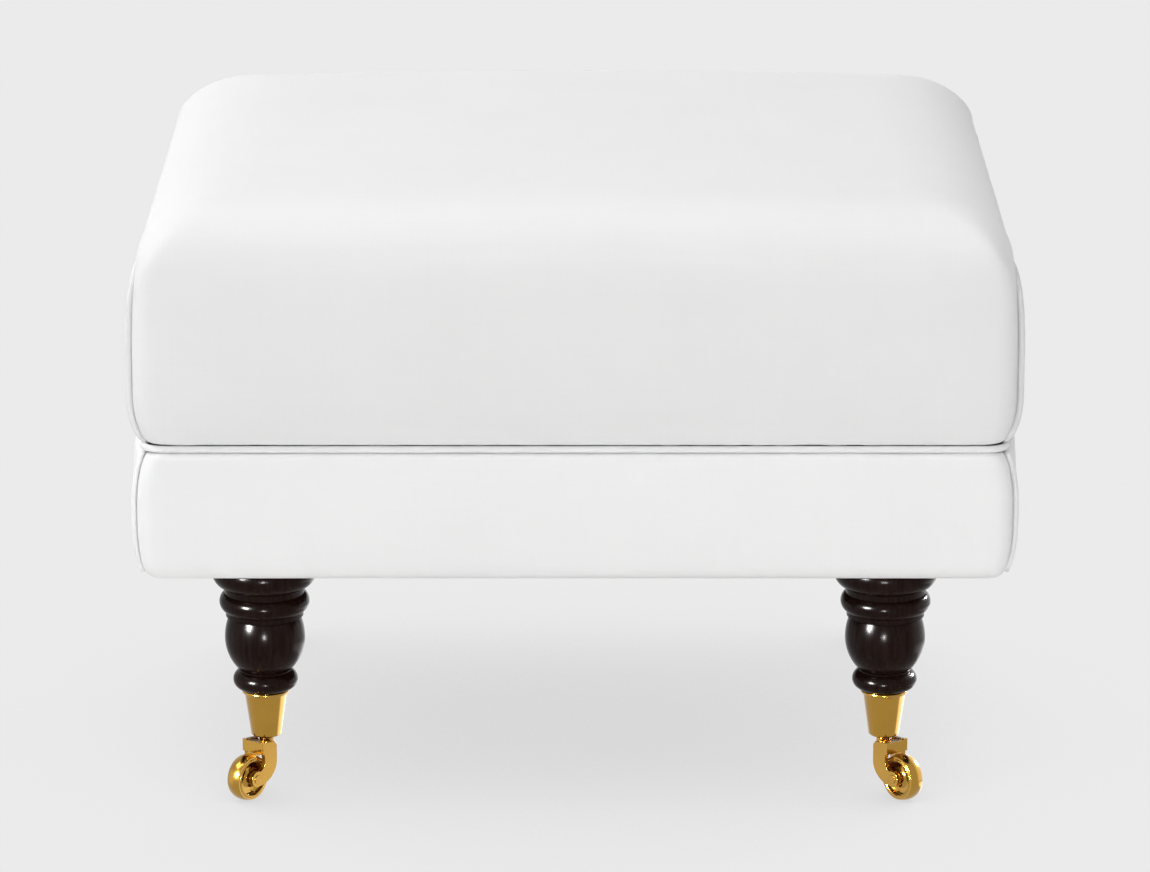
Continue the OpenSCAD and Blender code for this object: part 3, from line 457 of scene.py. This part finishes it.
def make_world():
    """A dome that lights the stool, and a pale backdrop for the camera, for gloss and through glass."""
    world = bpy.data.worlds.new("studio")
    bpy.context.scene.world = world
    world.use_nodes = True
    tree = world.node_tree
    tree.nodes.clear()
    path = add_node(tree, "ShaderNodeLightPath")
    gloss = path.outputs["Is Glossy Ray"]
    seen = maths(tree, "MAXIMUM", path.outputs["Is Camera Ray"], gloss)
    seen = maths(tree, "MAXIMUM", seen, path.outputs["Is Transmission Ray"])
    axes = split(tree, add_node(tree, "ShaderNodeTexCoord").outputs["Generated"])
    shown = add_node(tree, "ShaderNodeMix", {"data_type": "FLOAT"},
                     i0=gloss, i2=PALE, i3=gloss_world(tree, axes)).outputs[0]
    uneven = ramp_up(tree, axes[0], *RIGHT_EDGE, DOME, DOME * RIGHT_DIM)
    dome = add_node(tree, "ShaderNodeBackground", Color=WHITE, Strength=uneven)
    backdrop = add_node(tree, "ShaderNodeBackground", Color=WHITE, Strength=shown)
    mix = add_node(tree, "ShaderNodeMixShader", i0=seen, i1=dome.outputs[0], i2=backdrop.outputs[0])
    add_node(tree, "ShaderNodeOutputWorld", Surface=mix.outputs[0])


# Floor: half its width; reach of the soft shadow, the openness at which it is darkest and that from which
# there is none, and its darkest level. The openness is measured leaning back a little from upright.
FLOOR_SIZE = 15
SHADOW_REACH = 0.7
SHADOW_EDGE = (0.18, 0.62)
SHADOW_LEVEL = 0.655
SHADOW_LEAN = {"X": 0.0, "Y": 0.2, "Z": 0.98}


def make_floor():
    """A plain pale floor. What the camera sees of it is pale but for the stool's soft shadow."""
    s = FLOOR_SIZE
    floor = mesh_object("floor", [(-s, -s, 0), (s, -s, 0), (s, s, 0), (-s, s, 0)], [(0, 1, 2, 3)])
    material = bpy.data.materials.new("floor")
    material.use_nodes = True
    tree = material.node_tree
    tree.nodes.clear()
    path = add_node(tree, "ShaderNodeLightPath")
    lean = add_node(tree, "ShaderNodeCombineXYZ", **SHADOW_LEAN).outputs[0]
    openness = add_node(tree, "ShaderNodeAmbientOcclusion", {"samples": 6}, Distance=SHADOW_REACH, Normal=lean)
    level = ramp_up(tree, openness.outputs["AO"], *SHADOW_EDGE, SHADOW_LEVEL, PALE)
    plain = add_node(tree, "ShaderNodeEmission", Color=WHITE, Strength=level)
    matt = add_node(tree, "ShaderNodeBsdfDiffuse", Color=(PALE, PALE, PALE, 1))
    mix = add_node(tree, "ShaderNodeMixShader",
                   i0=path.outputs["Is Camera Ray"], i1=matt.outputs[0], i2=plain.outputs[0])
    add_node(tree, "ShaderNodeOutputMaterial", Surface=mix.outputs[0])
    floor.data.materials.append(material)
    floor.visible_glossy = False


def make_studio():
    bpy.context.scene.view_settings.view_transform = "Standard"
    make_camera()
    make_world()
    make_floor()
    softbox("key", (-0.52, -0.12, 0.85), size=2.4, level=0.49)
    softbox("front", (0.4, -1, 0.07), size=2.0, level=0.32, gloss=False)
    softbox("glint_left", (-0.705, -0.653, 0.268), size=1.1, level=8.0, matt=False)
    softbox("glint_front", (-0.04, -1, 0.02), size=0.45, level=0.9, matt=False)
    softbox("glint_back", (0.7, 0.65, 0.27), size=0.8, level=3.4, matt=False)


# Materials. The greys of the covers are tuned to the photograph's tones. The covers are all one cotton: the
# base's cover and the piping get lighter greys than the seat's cover, as painted light, and the seat's piping a
# darker one, as painted shade.
COVER_GREY = 0.83
BASE_GREY_PAINTED_LIGHT = 0.905
PIPING_GREY_PAINTED_LIGHT = 0.9
SEAT_PIPING_GREY_PAINTED_SHADE = 0.8
COVER_WEAVE = 0.0009
PIPING_WEAVE = 0.0008
SLUB_STRETCHES = ((14, 14, 620), (620, 14, 14), (14, 620, 14))


def fabric_material(name, grey, weave=COVER_WEAVE):
    """Plain-weave cotton: a fine weave on each facing, and slubs along the thread directions."""
    material, tree, shader = new_material(name)
    place = object_place(tree)
    axes = split(tree, place)
    normal = split(tree, add_node(tree, "ShaderNodeNewGeometry").outputs["Normal"])
    waves = [maths(tree, "SINE", maths(tree, "MULTIPLY", axes[k], 2 * math.pi / weave)) for k in range(3)]
    height = 0.0
    for k in range(3):
        facing = maths(tree, "POWER", maths(tree, "ABSOLUTE", normal[k]), 4.0)
        threads = maths(tree, "MULTIPLY", waves[(k + 1) % 3], waves[(k + 2) % 3])
        height = maths(tree, "MULTIPLY_ADD", facing, threads, height)
    slubs = 0.0
    for stretch in SLUB_STRETCHES:
        slubs = maths(tree, "MULTIPLY_ADD", stretched_noise(tree, place, stretch, 2.0), 1 / 3, slubs)
    tone = remap(tree, slubs, 0.35, 0.65, 0.985, 1.0)
    drift = remap(tree, noise(tree, place, 9.0, 3.0), 0.3, 0.7, 0.982, 1.0)
    level = maths(tree, "MULTIPLY", maths(tree, "MULTIPLY", tone, drift), grey)
    colour = add_node(tree, "ShaderNodeCombineXYZ", X=level, Y=level, Z=level)
    tree.links.new(colour.outputs[0], shader.inputs["Base Color"])
    relief = maths(tree, "MULTIPLY_ADD", height, 0.5, maths(tree, "MULTIPLY", slubs, 1.6))
    add_bump(tree, shader, relief, 0.1, 0.0004)
    shader.inputs["Roughness"].default_value = 0.9
    shader.inputs["Specular IOR Level"].default_value = 0.1
    return material


def lacquer_material():
    """Near-black brown stain under gloss lacquer, with faint upright grain."""
    material, tree, shader = new_material("lacquered_wood")
    grain = stretched_noise(tree, object_place(tree), (420, 420, 14), 4.0)
    two_tones(tree, shader, grain, (0.0095, 0.0035, 0.0022), (0.019, 0.0085, 0.0062), 0.35, 0.7)
    add_bump(tree, shader, grain, 0.02, 0.0003)
    shader.inputs["Roughness"].default_value = 0.19
    shader.inputs["IOR"].default_value = 1.15
    return material


def brass_material():
    """Antique brass: slow tone changes, fine brushing and softened edges under a thin clear coat."""
    material, tree, shader = new_material("brass")
    place = object_place(tree)
    cloud = noise(tree, place, 60.0, 4.0)
    two_tones(tree, shader, cloud, (0.385, 0.205, 0.018), (0.42, 0.229, 0.024), 0.3, 0.7)
    rough = remap(tree, noise(tree, place, 900.0, 2.0), 0.3, 0.7, 0.13, 0.18)
    tree.links.new(rough, shader.inputs["Roughness"])
    edge = add_node(tree, "ShaderNodeBevel", {"samples": 4}, Radius=0.0006)
    tree.links.new(edge.outputs[0], shader.inputs["Normal"])
    shader.inputs["Metallic"].default_value = 1.0
    shader.inputs["Coat Weight"].default_value = 0.5
    shader.inputs["Coat Roughness"].default_value = 0.12
    return material


def steel_material():
    material, tree, shader = new_material("zinc_steel")
    two_tones(tree, shader, noise(tree, object_place(tree), 120.0, 3.0), (0.42, 0.42, 0.41), (0.6, 0.6, 0.58))
    shader.inputs["Metallic"].default_value = 1.0
    shader.inputs["Roughness"].default_value = 0.35
    return material


def grained_material(name, dark, light, stretch, roughness):
    """A matt material of two close tones, in a noise that stretch scales along each axis."""
    material, tree, shader = new_material(name)
    grain = stretched_noise(tree, object_place(tree), stretch, 4.0)
    two_tones(tree, shader, grain, dark, light, 0.3, 0.7)
    add_bump(tree, shader, grain, 0.15, 0.0005)
    shader.inputs["Roughness"].default_value = roughness
    return material


# Seat cushion: rows of quads up its profile and columns across it, and where its side seams run
BOTTOM_ROWS = 5
FACE_ROWS = 22
EDGE_ROWS = 12
TOP_ROWS = 52
FLAT_COLS = 76
ROLL_COLS = 8
SEAM_IN = SEAT_ROLL_D + RIM
SEAM_DOWN = TOP_R + RIM
SEAM_Y = SEAM_IN - SEAT_HALF_D
BEND_Z = SEAT_EDGE_Z - SEAM_DOWN - SEAM_R
# Height at which the side seams start, depth of their valley, and how near points are joined
SEAM_START = 0.0005
SEAM_DEPTH = 0.0010
WELD = 0.00002
# Share of the crown that the cover has before the filling's pressure swells it
SLACK_CROWN = 0.7


def seat_x(z, tuck):
    """Half width of the seat at a height, drawn in below by tuck and towards the upper seam."""
    return SEAT_HALF_W - draw_in(z - SEAT_Z, *tuck) - draw_in(SEAT_EDGE_Z - SEAM_DOWN - z, *TOP_TUCK)


def arc_rows(centre, radius, start, end, count, last):
    """Points and normals on an arc, with the share of it that each has done."""
    rows = []
    for k in range(count + (1 if last else 0)):
        t = k / count
        a = math.radians(lerp(start, end, t))
        n = np.array((math.cos(a), math.sin(a)))
        rows.append((np.array(centre) + radius * n, n, t))
    return rows


def front_stations():
    """Rows up the front: profile point, outward normal, seam point, seam normal, roll width and crown."""
    out = np.array((-1.0, 0.0))
    low = SEAT_Z + BOTTOM_R
    rows = []
    for p, n, t in arc_rows((BOTTOM_R - SEAT_HALF_D, low), BOTTOM_R, 270, 180, BOTTOM_ROWS, False):
        rows.append((p, n, np.array((SEAM_Y, SEAT_Z + lerp(SEAM_START, BOTTOM_R, t))), out, SEAT_ROLL_W, 0))
    for k in range(FACE_ROWS):
        t = k / FACE_ROWS
        p = np.array((-SEAT_HALF_D, lerp(low, SEAT_EDGE_Z - TOP_R, t)))
        rows.append((p, out, np.array((SEAM_Y, lerp(low, BEND_Z, t))), out, SEAT_ROLL_W,
                     FACE_SWELL * math.sin(math.pi * t)))
    for p, n, t in arc_rows((TOP_R - SEAT_HALF_D, SEAT_EDGE_Z - TOP_R), TOP_R, 180, 90, EDGE_ROWS, True):
        seam = np.array((SEAM_Y + SEAM_R, BEND_Z)) + SEAM_R * n
        rows.append((p, n, seam, n, lerp(SEAT_ROLL_W, TOP_ROLL_W, ease(t)), TOP_CROWN * ease(t)))
    return rows


def top_stations():
    up = np.array((0.0, 1.0))
    rows = []
    for k in range(1, TOP_ROWS):
        u = 2 * k / TOP_ROWS - 1
        p = np.array((u * (SEAT_HALF_D - TOP_R), SEAT_EDGE_Z))
        seam = np.array((u * (SEAT_HALF_D - SEAM_IN - SEAM_R), SEAT_EDGE_Z - SEAM_DOWN))
        crown = TOP_CROWN * (1 + CROWN_GROWTH * math.sin(math.pi / 2 * (1 - abs(u))))
        rows.append((p, up, seam, up, TOP_ROLL_W, crown))
    return rows


def flip_station(row):
    back = np.array((-1.0, 1.0))
    return (row[0] * back, row[1] * back, row[2] * back, row[3] * back, row[4], row[5])


def seat_stations():
    front = front_stations()
    return front + top_stations() + [flip_station(r) for r in reversed(front)]


def seam_point(row):
    """Middle of the seam, drawn in near the bottom, as (x, y, z) on the right side."""
    y, z = row[2]
    return np.array((seat_x(z, CORNER_TUCK), y - math.copysign(draw_in(z - SEAT_Z, *SIDE_TUCK) / 2, y), z))


def panel_row(row):
    """Right half of one row of the main panel, from the middle out to the seam's valley."""
    point, normal, _, seam_normal, roll, crown = row
    seam = seam_point(row)
    edge = seam[1:] + RIM * seam_normal
    half = seam[0] - roll
    over = OVERHANG * (roll - SEAT_ROLL_W) / (TOP_ROLL_W - SEAT_ROLL_W)
    points = [(half * k / (FLAT_COLS / 2), *point) for k in range(FLAT_COLS // 2)]
    for k in range(ROLL_COLS + 1):
        t = k / ROLL_COLS
        a = math.pi / 2 * t
        x = half + roll * math.sin(a) + over * math.sin(math.pi * t ** 2.5)
        points.append((x, *lerp(point, edge, 1 - math.cos(a))))
    points = np.array(points)
    rise = SLACK_CROWN * crown * (1 - np.minimum(1, points[:, 0] / seam[0]) ** 2)
    points[:, 1:] += rise[:, None] * normal
    return np.vstack((points, (seam[0] - SEAM_DEPTH, seam[1], seam[2])))


def side_row(row):
    """One row of the right side panel, from its front seam to its back seam."""
    seam = seam_point(row)
    rim = seam[1:] - RIM * row[3]
    high = SEAT_EDGE_Z - SEAM_DOWN - RIM
    v = 2 * (rim[1] - SEAT_Z) / (high - SEAT_Z) - 1
    middle = seat_x(row[2][1], SIDE_TUCK) + SIDE_STEP * pillow(v)
    points = [(seam[0] - SEAM_DEPTH, seam[1], seam[2])]
    for k in range(TOP_ROWS + 1):
        u = 2 * k / TOP_ROWS - 1
        swell = SLACK_CROWN * SIDE_SWELL * (1 - u * u) * (1 - v * v)
        points.append((lerp(seam[0], middle, pillow(u)) + swell, -u * rim[0], rim[1]))
    points.append((seam[0] - SEAM_DEPTH, -seam[1], seam[2]))
    return np.array(points)


def bottom_grid(front_row, right):
    """Rows between the front and back bottom rows, which meet the bottom rows of the two sides."""
    back_row = front_row * (1, -1, 1)
    left = right * (-1, 1, 1)
    u = np.linspace(0, 1, len(front_row))[:, None]
    rows = []
    for k in range(len(right)):
        t = k / (len(right) - 1)
        along = lerp(front_row, back_row, t)
        across = lerp(left[k], right[k], u)
        ends = lerp(lerp(left[0], left[-1], t), lerp(right[0], right[-1], t), u)
        rows.append(along + across - ends)
    return rows


def cushion_mesh():
    """The whole cushion as one closed mesh of quads that follow its seams."""
    verts, faces = [], []

    def add_grid(rows):
        faces.extend(grid_faces(len(rows), len(rows[0]), len(verts)))
        verts.extend(p for row in rows for p in row)

    main = [np.vstack((row[:0:-1] * (-1, 1, 1), row)) for row in map(panel_row, seat_stations())]
    add_grid(main)
    side = [side_row(r) for r in front_stations()]
    last = side[-1]
    side.append(np.vstack((last[0], last[1:-1] + (-SEAM_DEPTH, 0, RIM), last[-1])))
    for sign in (1, -1):
        add_grid([row * (sign, 1, 1) for row in side])
    add_grid(bottom_grid(main[0], side[0]))
    obj = mesh_object("seat_cushion", verts, faces)
    tidy_mesh(obj, WELD)
    return obj


# Swell by the filling: pressure, frames, and the most that a point may move. Points are held this near
# to the bottom and to the rims of the side seams.
PRESSURE = 0.25
FRAMES = 20
MOST_PUFF = 0.003
HELD_BOTTOM = 0.002
HELD_SEAM = 0.0022


def inflate(obj, held):
    """Swells a closed cover by the pressure of its filling. Held points stay, and none moves far or inwards."""
    start, normals = get_points(obj), get_points(obj, "normal")
    group = obj.vertex_groups.new(name="held")
    group.add([int(k) for k in np.where(held)[0]], 1.0, "REPLACE")
    mod = obj.modifiers.new("cloth", "CLOTH")
    cloth = mod.settings
    cloth.quality = 5
    cloth.mass = 0.3
    cloth.tension_stiffness = 15
    cloth.compression_stiffness = 15
    cloth.shear_stiffness = 5
    cloth.bending_stiffness = 0.5
    cloth.vertex_group_mass = group.name
    cloth.use_pressure = True
    cloth.uniform_pressure_force = PRESSURE
    cloth.effector_weights.gravity = 0
    mod.collision_settings.use_collision = False
    mod.point_cache.frame_start = 1
    mod.point_cache.frame_end = FRAMES
    scene = bpy.context.scene
    for step in range(1, FRAMES + 1):
        scene.frame_set(step)
    end = get_points(obj.evaluated_get(bpy.context.evaluated_depsgraph_get()))
    obj.modifiers.clear()
    obj.vertex_groups.clear()
    scene.frame_set(1)
    puff = ((end - start) * normals).sum(1)
    puff = MOST_PUFF * np.tanh(np.maximum(puff, 0) / MOST_PUFF)
    set_points(obj, start + puff[:, None] * normals)


def seat_seam_line(sign):
    return [(seam_point(r) + (CORD_OUT, 0, 0)) * (sign, 1, 1) for r in seat_stations()]


# Lines along the seat's lower front and back edges, where its cover is gathered: half length, and how far
# in and up they lie. Depth and reach of the gathers.
EDGE_LINE = 0.3
EDGE_LINE_IN = 0.004
EDGE_LINE_UP = 0.001
SEAT_GATHERS = (0.0007, 0.011)


def make_seat(cotton, piping):
    cushion = cushion_mesh()
    seams = {sign: seat_seam_line(sign) for sign in (-1, 1)}
    points = get_points(cushion)
    held = points[:, 2] < SEAT_Z + HELD_BOTTOM
    for line in seams.values():
        held |= nearest(points, evenly(line, SEAM_LINE_STEP))[0] < RIM + HELD_SEAM
    inflate(cushion, held)
    subdivide(cushion)
    bottom = [(x, y * (SEAT_HALF_D - EDGE_LINE_IN), SEAT_Z + EDGE_LINE_UP)
              for y in (-1, 1) for x in (-EDGE_LINE, EDGE_LINE)]
    pucker(cushion, [*seams.values(), bottom[:2], bottom[2:]], *SEAT_GATHERS, seed=3)
    finish_piece(cushion, cotton, ["seat_panel", "seat_side_left", "seat_side_right", "seat_foam"])
    for sign, side in ((-1, "left"), (1, "right")):
        cord = cord_object(f"seat_cord_{side}", seams[sign], (1, 0, 0), seed=11 + sign)
        finish_piece(cord, piping, [f"seat_piping_{side}"])


# Base: rows and columns of its panels, steps of its cords, and depth and reach of its gathers
BASE_ARC_ROWS = 8
BASE_FACE_ROWS = 24
BASE_COLS = 90
SEAM_STEP = 0.0015
CORNER_STEPS = 40
DECK_CORNER_STEPS = 12
BASE_GATHERS = (0.0006, 0.009)


def base_draw(z):
    return draw_in(min(z - BASE_Z, BASE_TOP - z), *BASE_TUCK)


def base_seam(z):
    """Seam at a height, as half width and half depth."""
    return BASE_HALF_W - base_draw(z), BASE_HALF_D - BASE_SEAM_IN - base_draw(z) / 2


def base_stations():
    """Rows from under the base up to the deck: point as (in from the face, z), normal, seam height and
    swell."""
    low, high = BASE_SEAM_LOW, BASE_SEAM_HIGH
    rows = [(np.array((UNDER_TURN, BASE_Z)), np.array((0.0, -1.0)), low, 0)]
    centre = (BASE_BOTTOM_R, BASE_Z + BASE_BOTTOM_R)
    for p, n, t in arc_rows(centre, BASE_BOTTOM_R, 270, 180, BASE_ARC_ROWS, True):
        rows.append((p, n, low + lerp(SEAM_STEP, BASE_BOTTOM_R, t), 0))
    for k in range(1, BASE_FACE_ROWS):
        t = k / BASE_FACE_ROWS
        p = np.array((0.0, lerp(BASE_Z + BASE_BOTTOM_R, BASE_TOP - BASE_TOP_R, t)))
        rows.append((p, np.array((-1.0, 0.0)), lerp(low + BASE_BOTTOM_R, high - BASE_TOP_R, t),
                     BASE_SWELL * math.sin(math.pi * t)))
    centre = (BASE_TOP_R, BASE_TOP - BASE_TOP_R)
    for p, n, t in arc_rows(centre, BASE_TOP_R, 180, 90, BASE_ARC_ROWS, True):
        rows.append((p, n, high - lerp(BASE_TOP_R, SEAM_STEP, t), 0))
    rows.append((np.array((BASE_TOP_R + DECK_TURN, BASE_TOP)), np.array((0.0, 1.0)), high, 0))
    return rows


def base_panel_row(row, inset):
    """One row of the front panel, from its left seam to its right seam."""
    point, normal, seam_z, swell = row
    seam_x, seam_y = base_seam(seam_z)
    edge = np.array((-seam_y - RIM, seam_z))
    roll = BASE_ROLL_W - inset
    half = seam_x - inset - roll
    start = point - (BASE_HALF_D, 0) - inset * normal
    rolled = []
    for k in range(1, ROLL_COLS + 1):
        a = math.pi / 2 * k / ROLL_COLS
        rolled.append((half + roll * math.sin(a), *lerp(start, edge, 1 - math.cos(a))))
    rolled = np.array(rolled)
    middle = []
    for k in range(BASE_COLS + 1):
        f = 2 * k / BASE_COLS - 1
        middle.append((f * half, *(start + swell * (1 - f * f) * normal)))
    return np.vstack((rolled[::-1] * (-1, 1, 1), middle, rolled))


def base_side_row(row, inset):
    """One row of the right side panel, from its front seam to its back seam."""
    point, normal, seam_z, swell = row
    seam_x, seam_y = base_seam(seam_z)
    rim = np.array((seam_x - inset, seam_z))
    inwards = point[0] + (SIDE_TURN if point[0] > BASE_BOTTOM_R else 0)
    middle = (BASE_HALF_W + BASE_SIDE_OUT - inwards + inset * normal[0], point[1] - inset * normal[1])
    points = []
    for k in range(BASE_COLS + 1):
        u = -math.cos(math.pi * k / BASE_COLS)
        x, z = lerp(rim, np.array(middle), pillow(u))
        points.append((x + swell * (1 - u * u), u * (seam_y - RIM), z))
    return np.array(points)


def base_seam_line(sx, sy):
    points = []
    for k in range(CORNER_STEPS + 1):
        z = lerp(BASE_SEAM_LOW, BASE_TOP - PIPING_R, k / CORNER_STEPS)
        x, y = base_seam(z)
        points.append((sx * (x + BASE_CORD_OUT), sy * y, z))
    return points


def deck_line():
    """Centre line of the piping round the deck, closed."""
    points = []
    for k, (sx, sy) in enumerate(((1, 1), (-1, 1), (-1, -1), (1, -1))):
        for step in range(DECK_CORNER_STEPS + 1):
            a = math.radians(90 * k + 90 / DECK_CORNER_STEPS * step)
            points.append((sx * (DECK_HALF_W - DECK_CORNER_R) + DECK_CORNER_R * math.cos(a),
                           sy * (DECK_HALF_D - DECK_CORNER_R) + DECK_CORNER_R * math.sin(a), DECK_Z))
    return points + [points[0]]


def make_base(cotton, piping):
    stations = base_stations()
    corners = {(sx, sy): base_seam_line(sx, sy) for sx in (-1, 1) for sy in (-1, 1)}
    deck = np.array(deck_line()) - (0, 0, PIPING_R)
    panels = [("front", base_panel_row, (1, 1, 1)), ("back", base_panel_row, (1, -1, 1)),
              ("left", base_side_row, (-1, 1, 1)), ("right", base_side_row, (1, 1, 1))]
    for k, (where, make_row, flip) in enumerate(panels):
        outer = [make_row(s, 0) * flip for s in stations]
        inner = [make_row(s, SKIN_T) * flip for s in stations]
        panel = shell_object(f"base_cover_{where}", outer, inner)
        subdivide(panel)
        pucker(panel, [*corners.values(), deck], *BASE_GATHERS, seed=20 + k)
        kind = "panel" if make_row is base_panel_row else "side"
        finish_piece(panel, cotton, [f"base_{kind}_{where}"])
    for (sx, sy), line in corners.items():
        where = ("front" if sy < 0 else "back") + ("_left" if sx < 0 else "_right")
        cord = cord_object(f"corner_cord_{where}", line, (1, 0, 0), seed=30 + sx + 2 * sy)
        finish_piece(cord, piping, [f"corner_piping_{where}"])
    cord = cord_object("deck_cord", deck_line(), (0, 0, 1), seed=40, closed=True)
    finish_piece(cord, piping, ["deck_piping"])


# Under the base: dust cover, with holes round the ends of the bolts. The mesh has a line at each hole's
# edge, and no other line near to it.
DUST_LOW, DUST_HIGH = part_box("dust_cover")
DUST_HALF = (0.298, 0.2295)
DUST_T = 0.0006
DUST_LINES = 61
LEG_PLACE = (0.226, 0.193)
BOLT_HOLE = 0.0045
HOLE_CLEAR = 0.002
SAG = 0.0022
# Its staples: first from a corner, pitch, in from the edge, half sizes, and how far they stand out and go in
STAPLE_START = 0.025
STAPLE_PITCH = 0.045
STAPLE_IN = 0.006
STAPLE_HALF = (0.0055, 0.0006)
STAPLE_OUT = 0.0004
STAPLE_DEEP = 0.0001


def dust_sag(x, y):
    u, v = x / DUST_HALF[0], y / DUST_HALF[1]
    return SAG * max(0, (1 - u * u) * (1 - v * v)) ** 1.6


def dust_lines(half, leg):
    """Places of the mesh's lines along one axis."""
    steps = set(np.round(np.linspace(-half, half, DUST_LINES), 6))
    holes = [s * (leg + d) for s in (-1, 1) for d in (-BOLT_HOLE, BOLT_HOLE)]
    return sorted({s for s in steps if min(abs(s - h) for h in holes) > HOLE_CLEAR} | set(holes))


def make_dust_cover(cloth):
    xs, ys = (dust_lines(half, leg) for half, leg in zip(DUST_HALF, LEG_PLACE))
    middle = (DUST_LOW.z + DUST_HIGH.z) / 2
    verts = [(x, y, middle - dust_sag(x, y)) for y in ys for x in xs]
    faces = []
    for face in grid_faces(len(ys), len(xs)):
        x, y = np.mean([verts[k][:2] for k in face], axis=0)
        if abs(abs(x) - LEG_PLACE[0]) > BOLT_HOLE or abs(abs(y) - LEG_PLACE[1]) > BOLT_HOLE:
            faces.append(face)
    cover = mesh_object("dust_sheet", verts, faces)
    mod = cover.modifiers.new("thickness", "SOLIDIFY")
    mod.thickness = DUST_T
    mod.offset = 0
    applied(cover)
    finish_piece(cover, cloth, ["dust_cover"])


def make_staples(steel):
    """A row of staple crowns along each edge of the dust cover."""
    verts, faces = [], []
    for axis, (along, across) in enumerate((DUST_HALF, DUST_HALF[::-1])):
        for sign in (-1, 1):
            for place in np.linspace(STAPLE_START - along, along - STAPLE_START, int(2 * along / STAPLE_PITCH)):
                centre = np.array((place, sign * (across - STAPLE_IN)))
                first = len(verts)
                for z in (DUST_LOW.z - STAPLE_OUT, DUST_LOW.z + STAPLE_DEEP):
                    for corner in ((-1, -1), (1, -1), (1, 1), (-1, 1)):
                        p = centre + np.array(STAPLE_HALF) * corner
                        verts.append((*(p[::-1] if axis else p), z))
                faces += [tuple(first + k for k in f) for f in
                          ((0, 3, 2, 1), (4, 5, 6, 7), (0, 1, 5, 4), (1, 2, 6, 5), (2, 3, 7, 6), (3, 0, 4, 7))]
    staples = mesh_object("dust_staples", verts, faces)
    tidy_mesh(staples)
    finish_piece(staples, steel, smooth=False)


# Felt pad: points along and across, unevenness, how much thinner it is than its solid on each face,
# and its edge's share of its thickness
FELT_COLS, FELT_ROWS = 49, 37
FELT_UNEVEN = 0.0004
FELT_THINNER = 0.0005
FELT_EDGE = 0.35


def make_felt(felt):
    """The pad between webbing and foam, with soft edges and a slightly uneven thickness."""
    low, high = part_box("felt_pad")
    middle, half = (low.z + high.z) / 2, (high.z - low.z) / 2 - FELT_THINNER
    rng = np.random.default_rng(50)
    uneven = np.outer(ripple(FELT_ROWS, 5, rng), ripple(FELT_COLS, 5, rng)) * FELT_UNEVEN
    outer, inner = [], []
    for i in range(FELT_ROWS):
        top, under = [], []
        for j in range(FELT_COLS):
            u, v = 2 * j / (FELT_COLS - 1) - 1, 2 * i / (FELT_ROWS - 1) - 1
            edge = math.sqrt(max(0, (1 - abs(u) ** 24) * (1 - abs(v) ** 24)))
            rise = half * max(edge, FELT_EDGE) + uneven[i, j]
            top.append((high.x * u, high.y * v, middle + rise))
            under.append((high.x * u, high.y * v, middle - rise))
        outer.append(np.array(top))
        inner.append(np.array(under))
    pad = shell_object("felt_layer", outer, inner)
    finish_piece(pad, felt, ["felt_pad"])


def make_pieces():
    """New pieces, and materials for the CAD nodes that stay in sight."""
    steel = steel_material()
    cambric = grained_material("cambric", (0.006, 0.006, 0.006), (0.012, 0.012, 0.012), (900, 900, 90), 0.9)
    # The base's piping is lighter and the seat's piping darker than the seat's cover, though all are one
    # cotton: painted light and painted shade
    piping = fabric_material("piping_cotton", PIPING_GREY_PAINTED_LIGHT, PIPING_WEAVE)
    seat_piping = fabric_material("seat_piping_cotton", SEAT_PIPING_GREY_PAINTED_SHADE, PIPING_WEAVE)
    make_seat(fabric_material("cover_cotton", COVER_GREY), seat_piping)
    # The base's cover is a lighter grey of the seat's cotton: painted light
    make_base(fabric_material("base_cotton", BASE_GREY_PAINTED_LIGHT), piping)
    make_dust_cover(cambric)
    make_staples(steel)
    make_felt(grained_material("felt", (0.12, 0.115, 0.11), (0.18, 0.175, 0.165), (400, 400, 400), 0.95))
    materials = {
        "leg_wood": lacquer_material(),
        "brass": brass_material(),
        "steel": steel,
        "frame_wood": grained_material("beech", (0.5, 0.33, 0.19), (0.62, 0.43, 0.26), (30, 30, 30), 0.6),
        "webbing": grained_material("jute", (0.3, 0.22, 0.12), (0.42, 0.32, 0.19), (300, 300, 300), 0.9),
    }
    slots = {s["node"]: s["material_slot"] for s in frame["record"]["subparts"]}
    for name, obj in frame["nodes"].items():
        if not obj.hide_render:
            dress(obj, materials[slots[name]])


make_studio()
make_pieces()
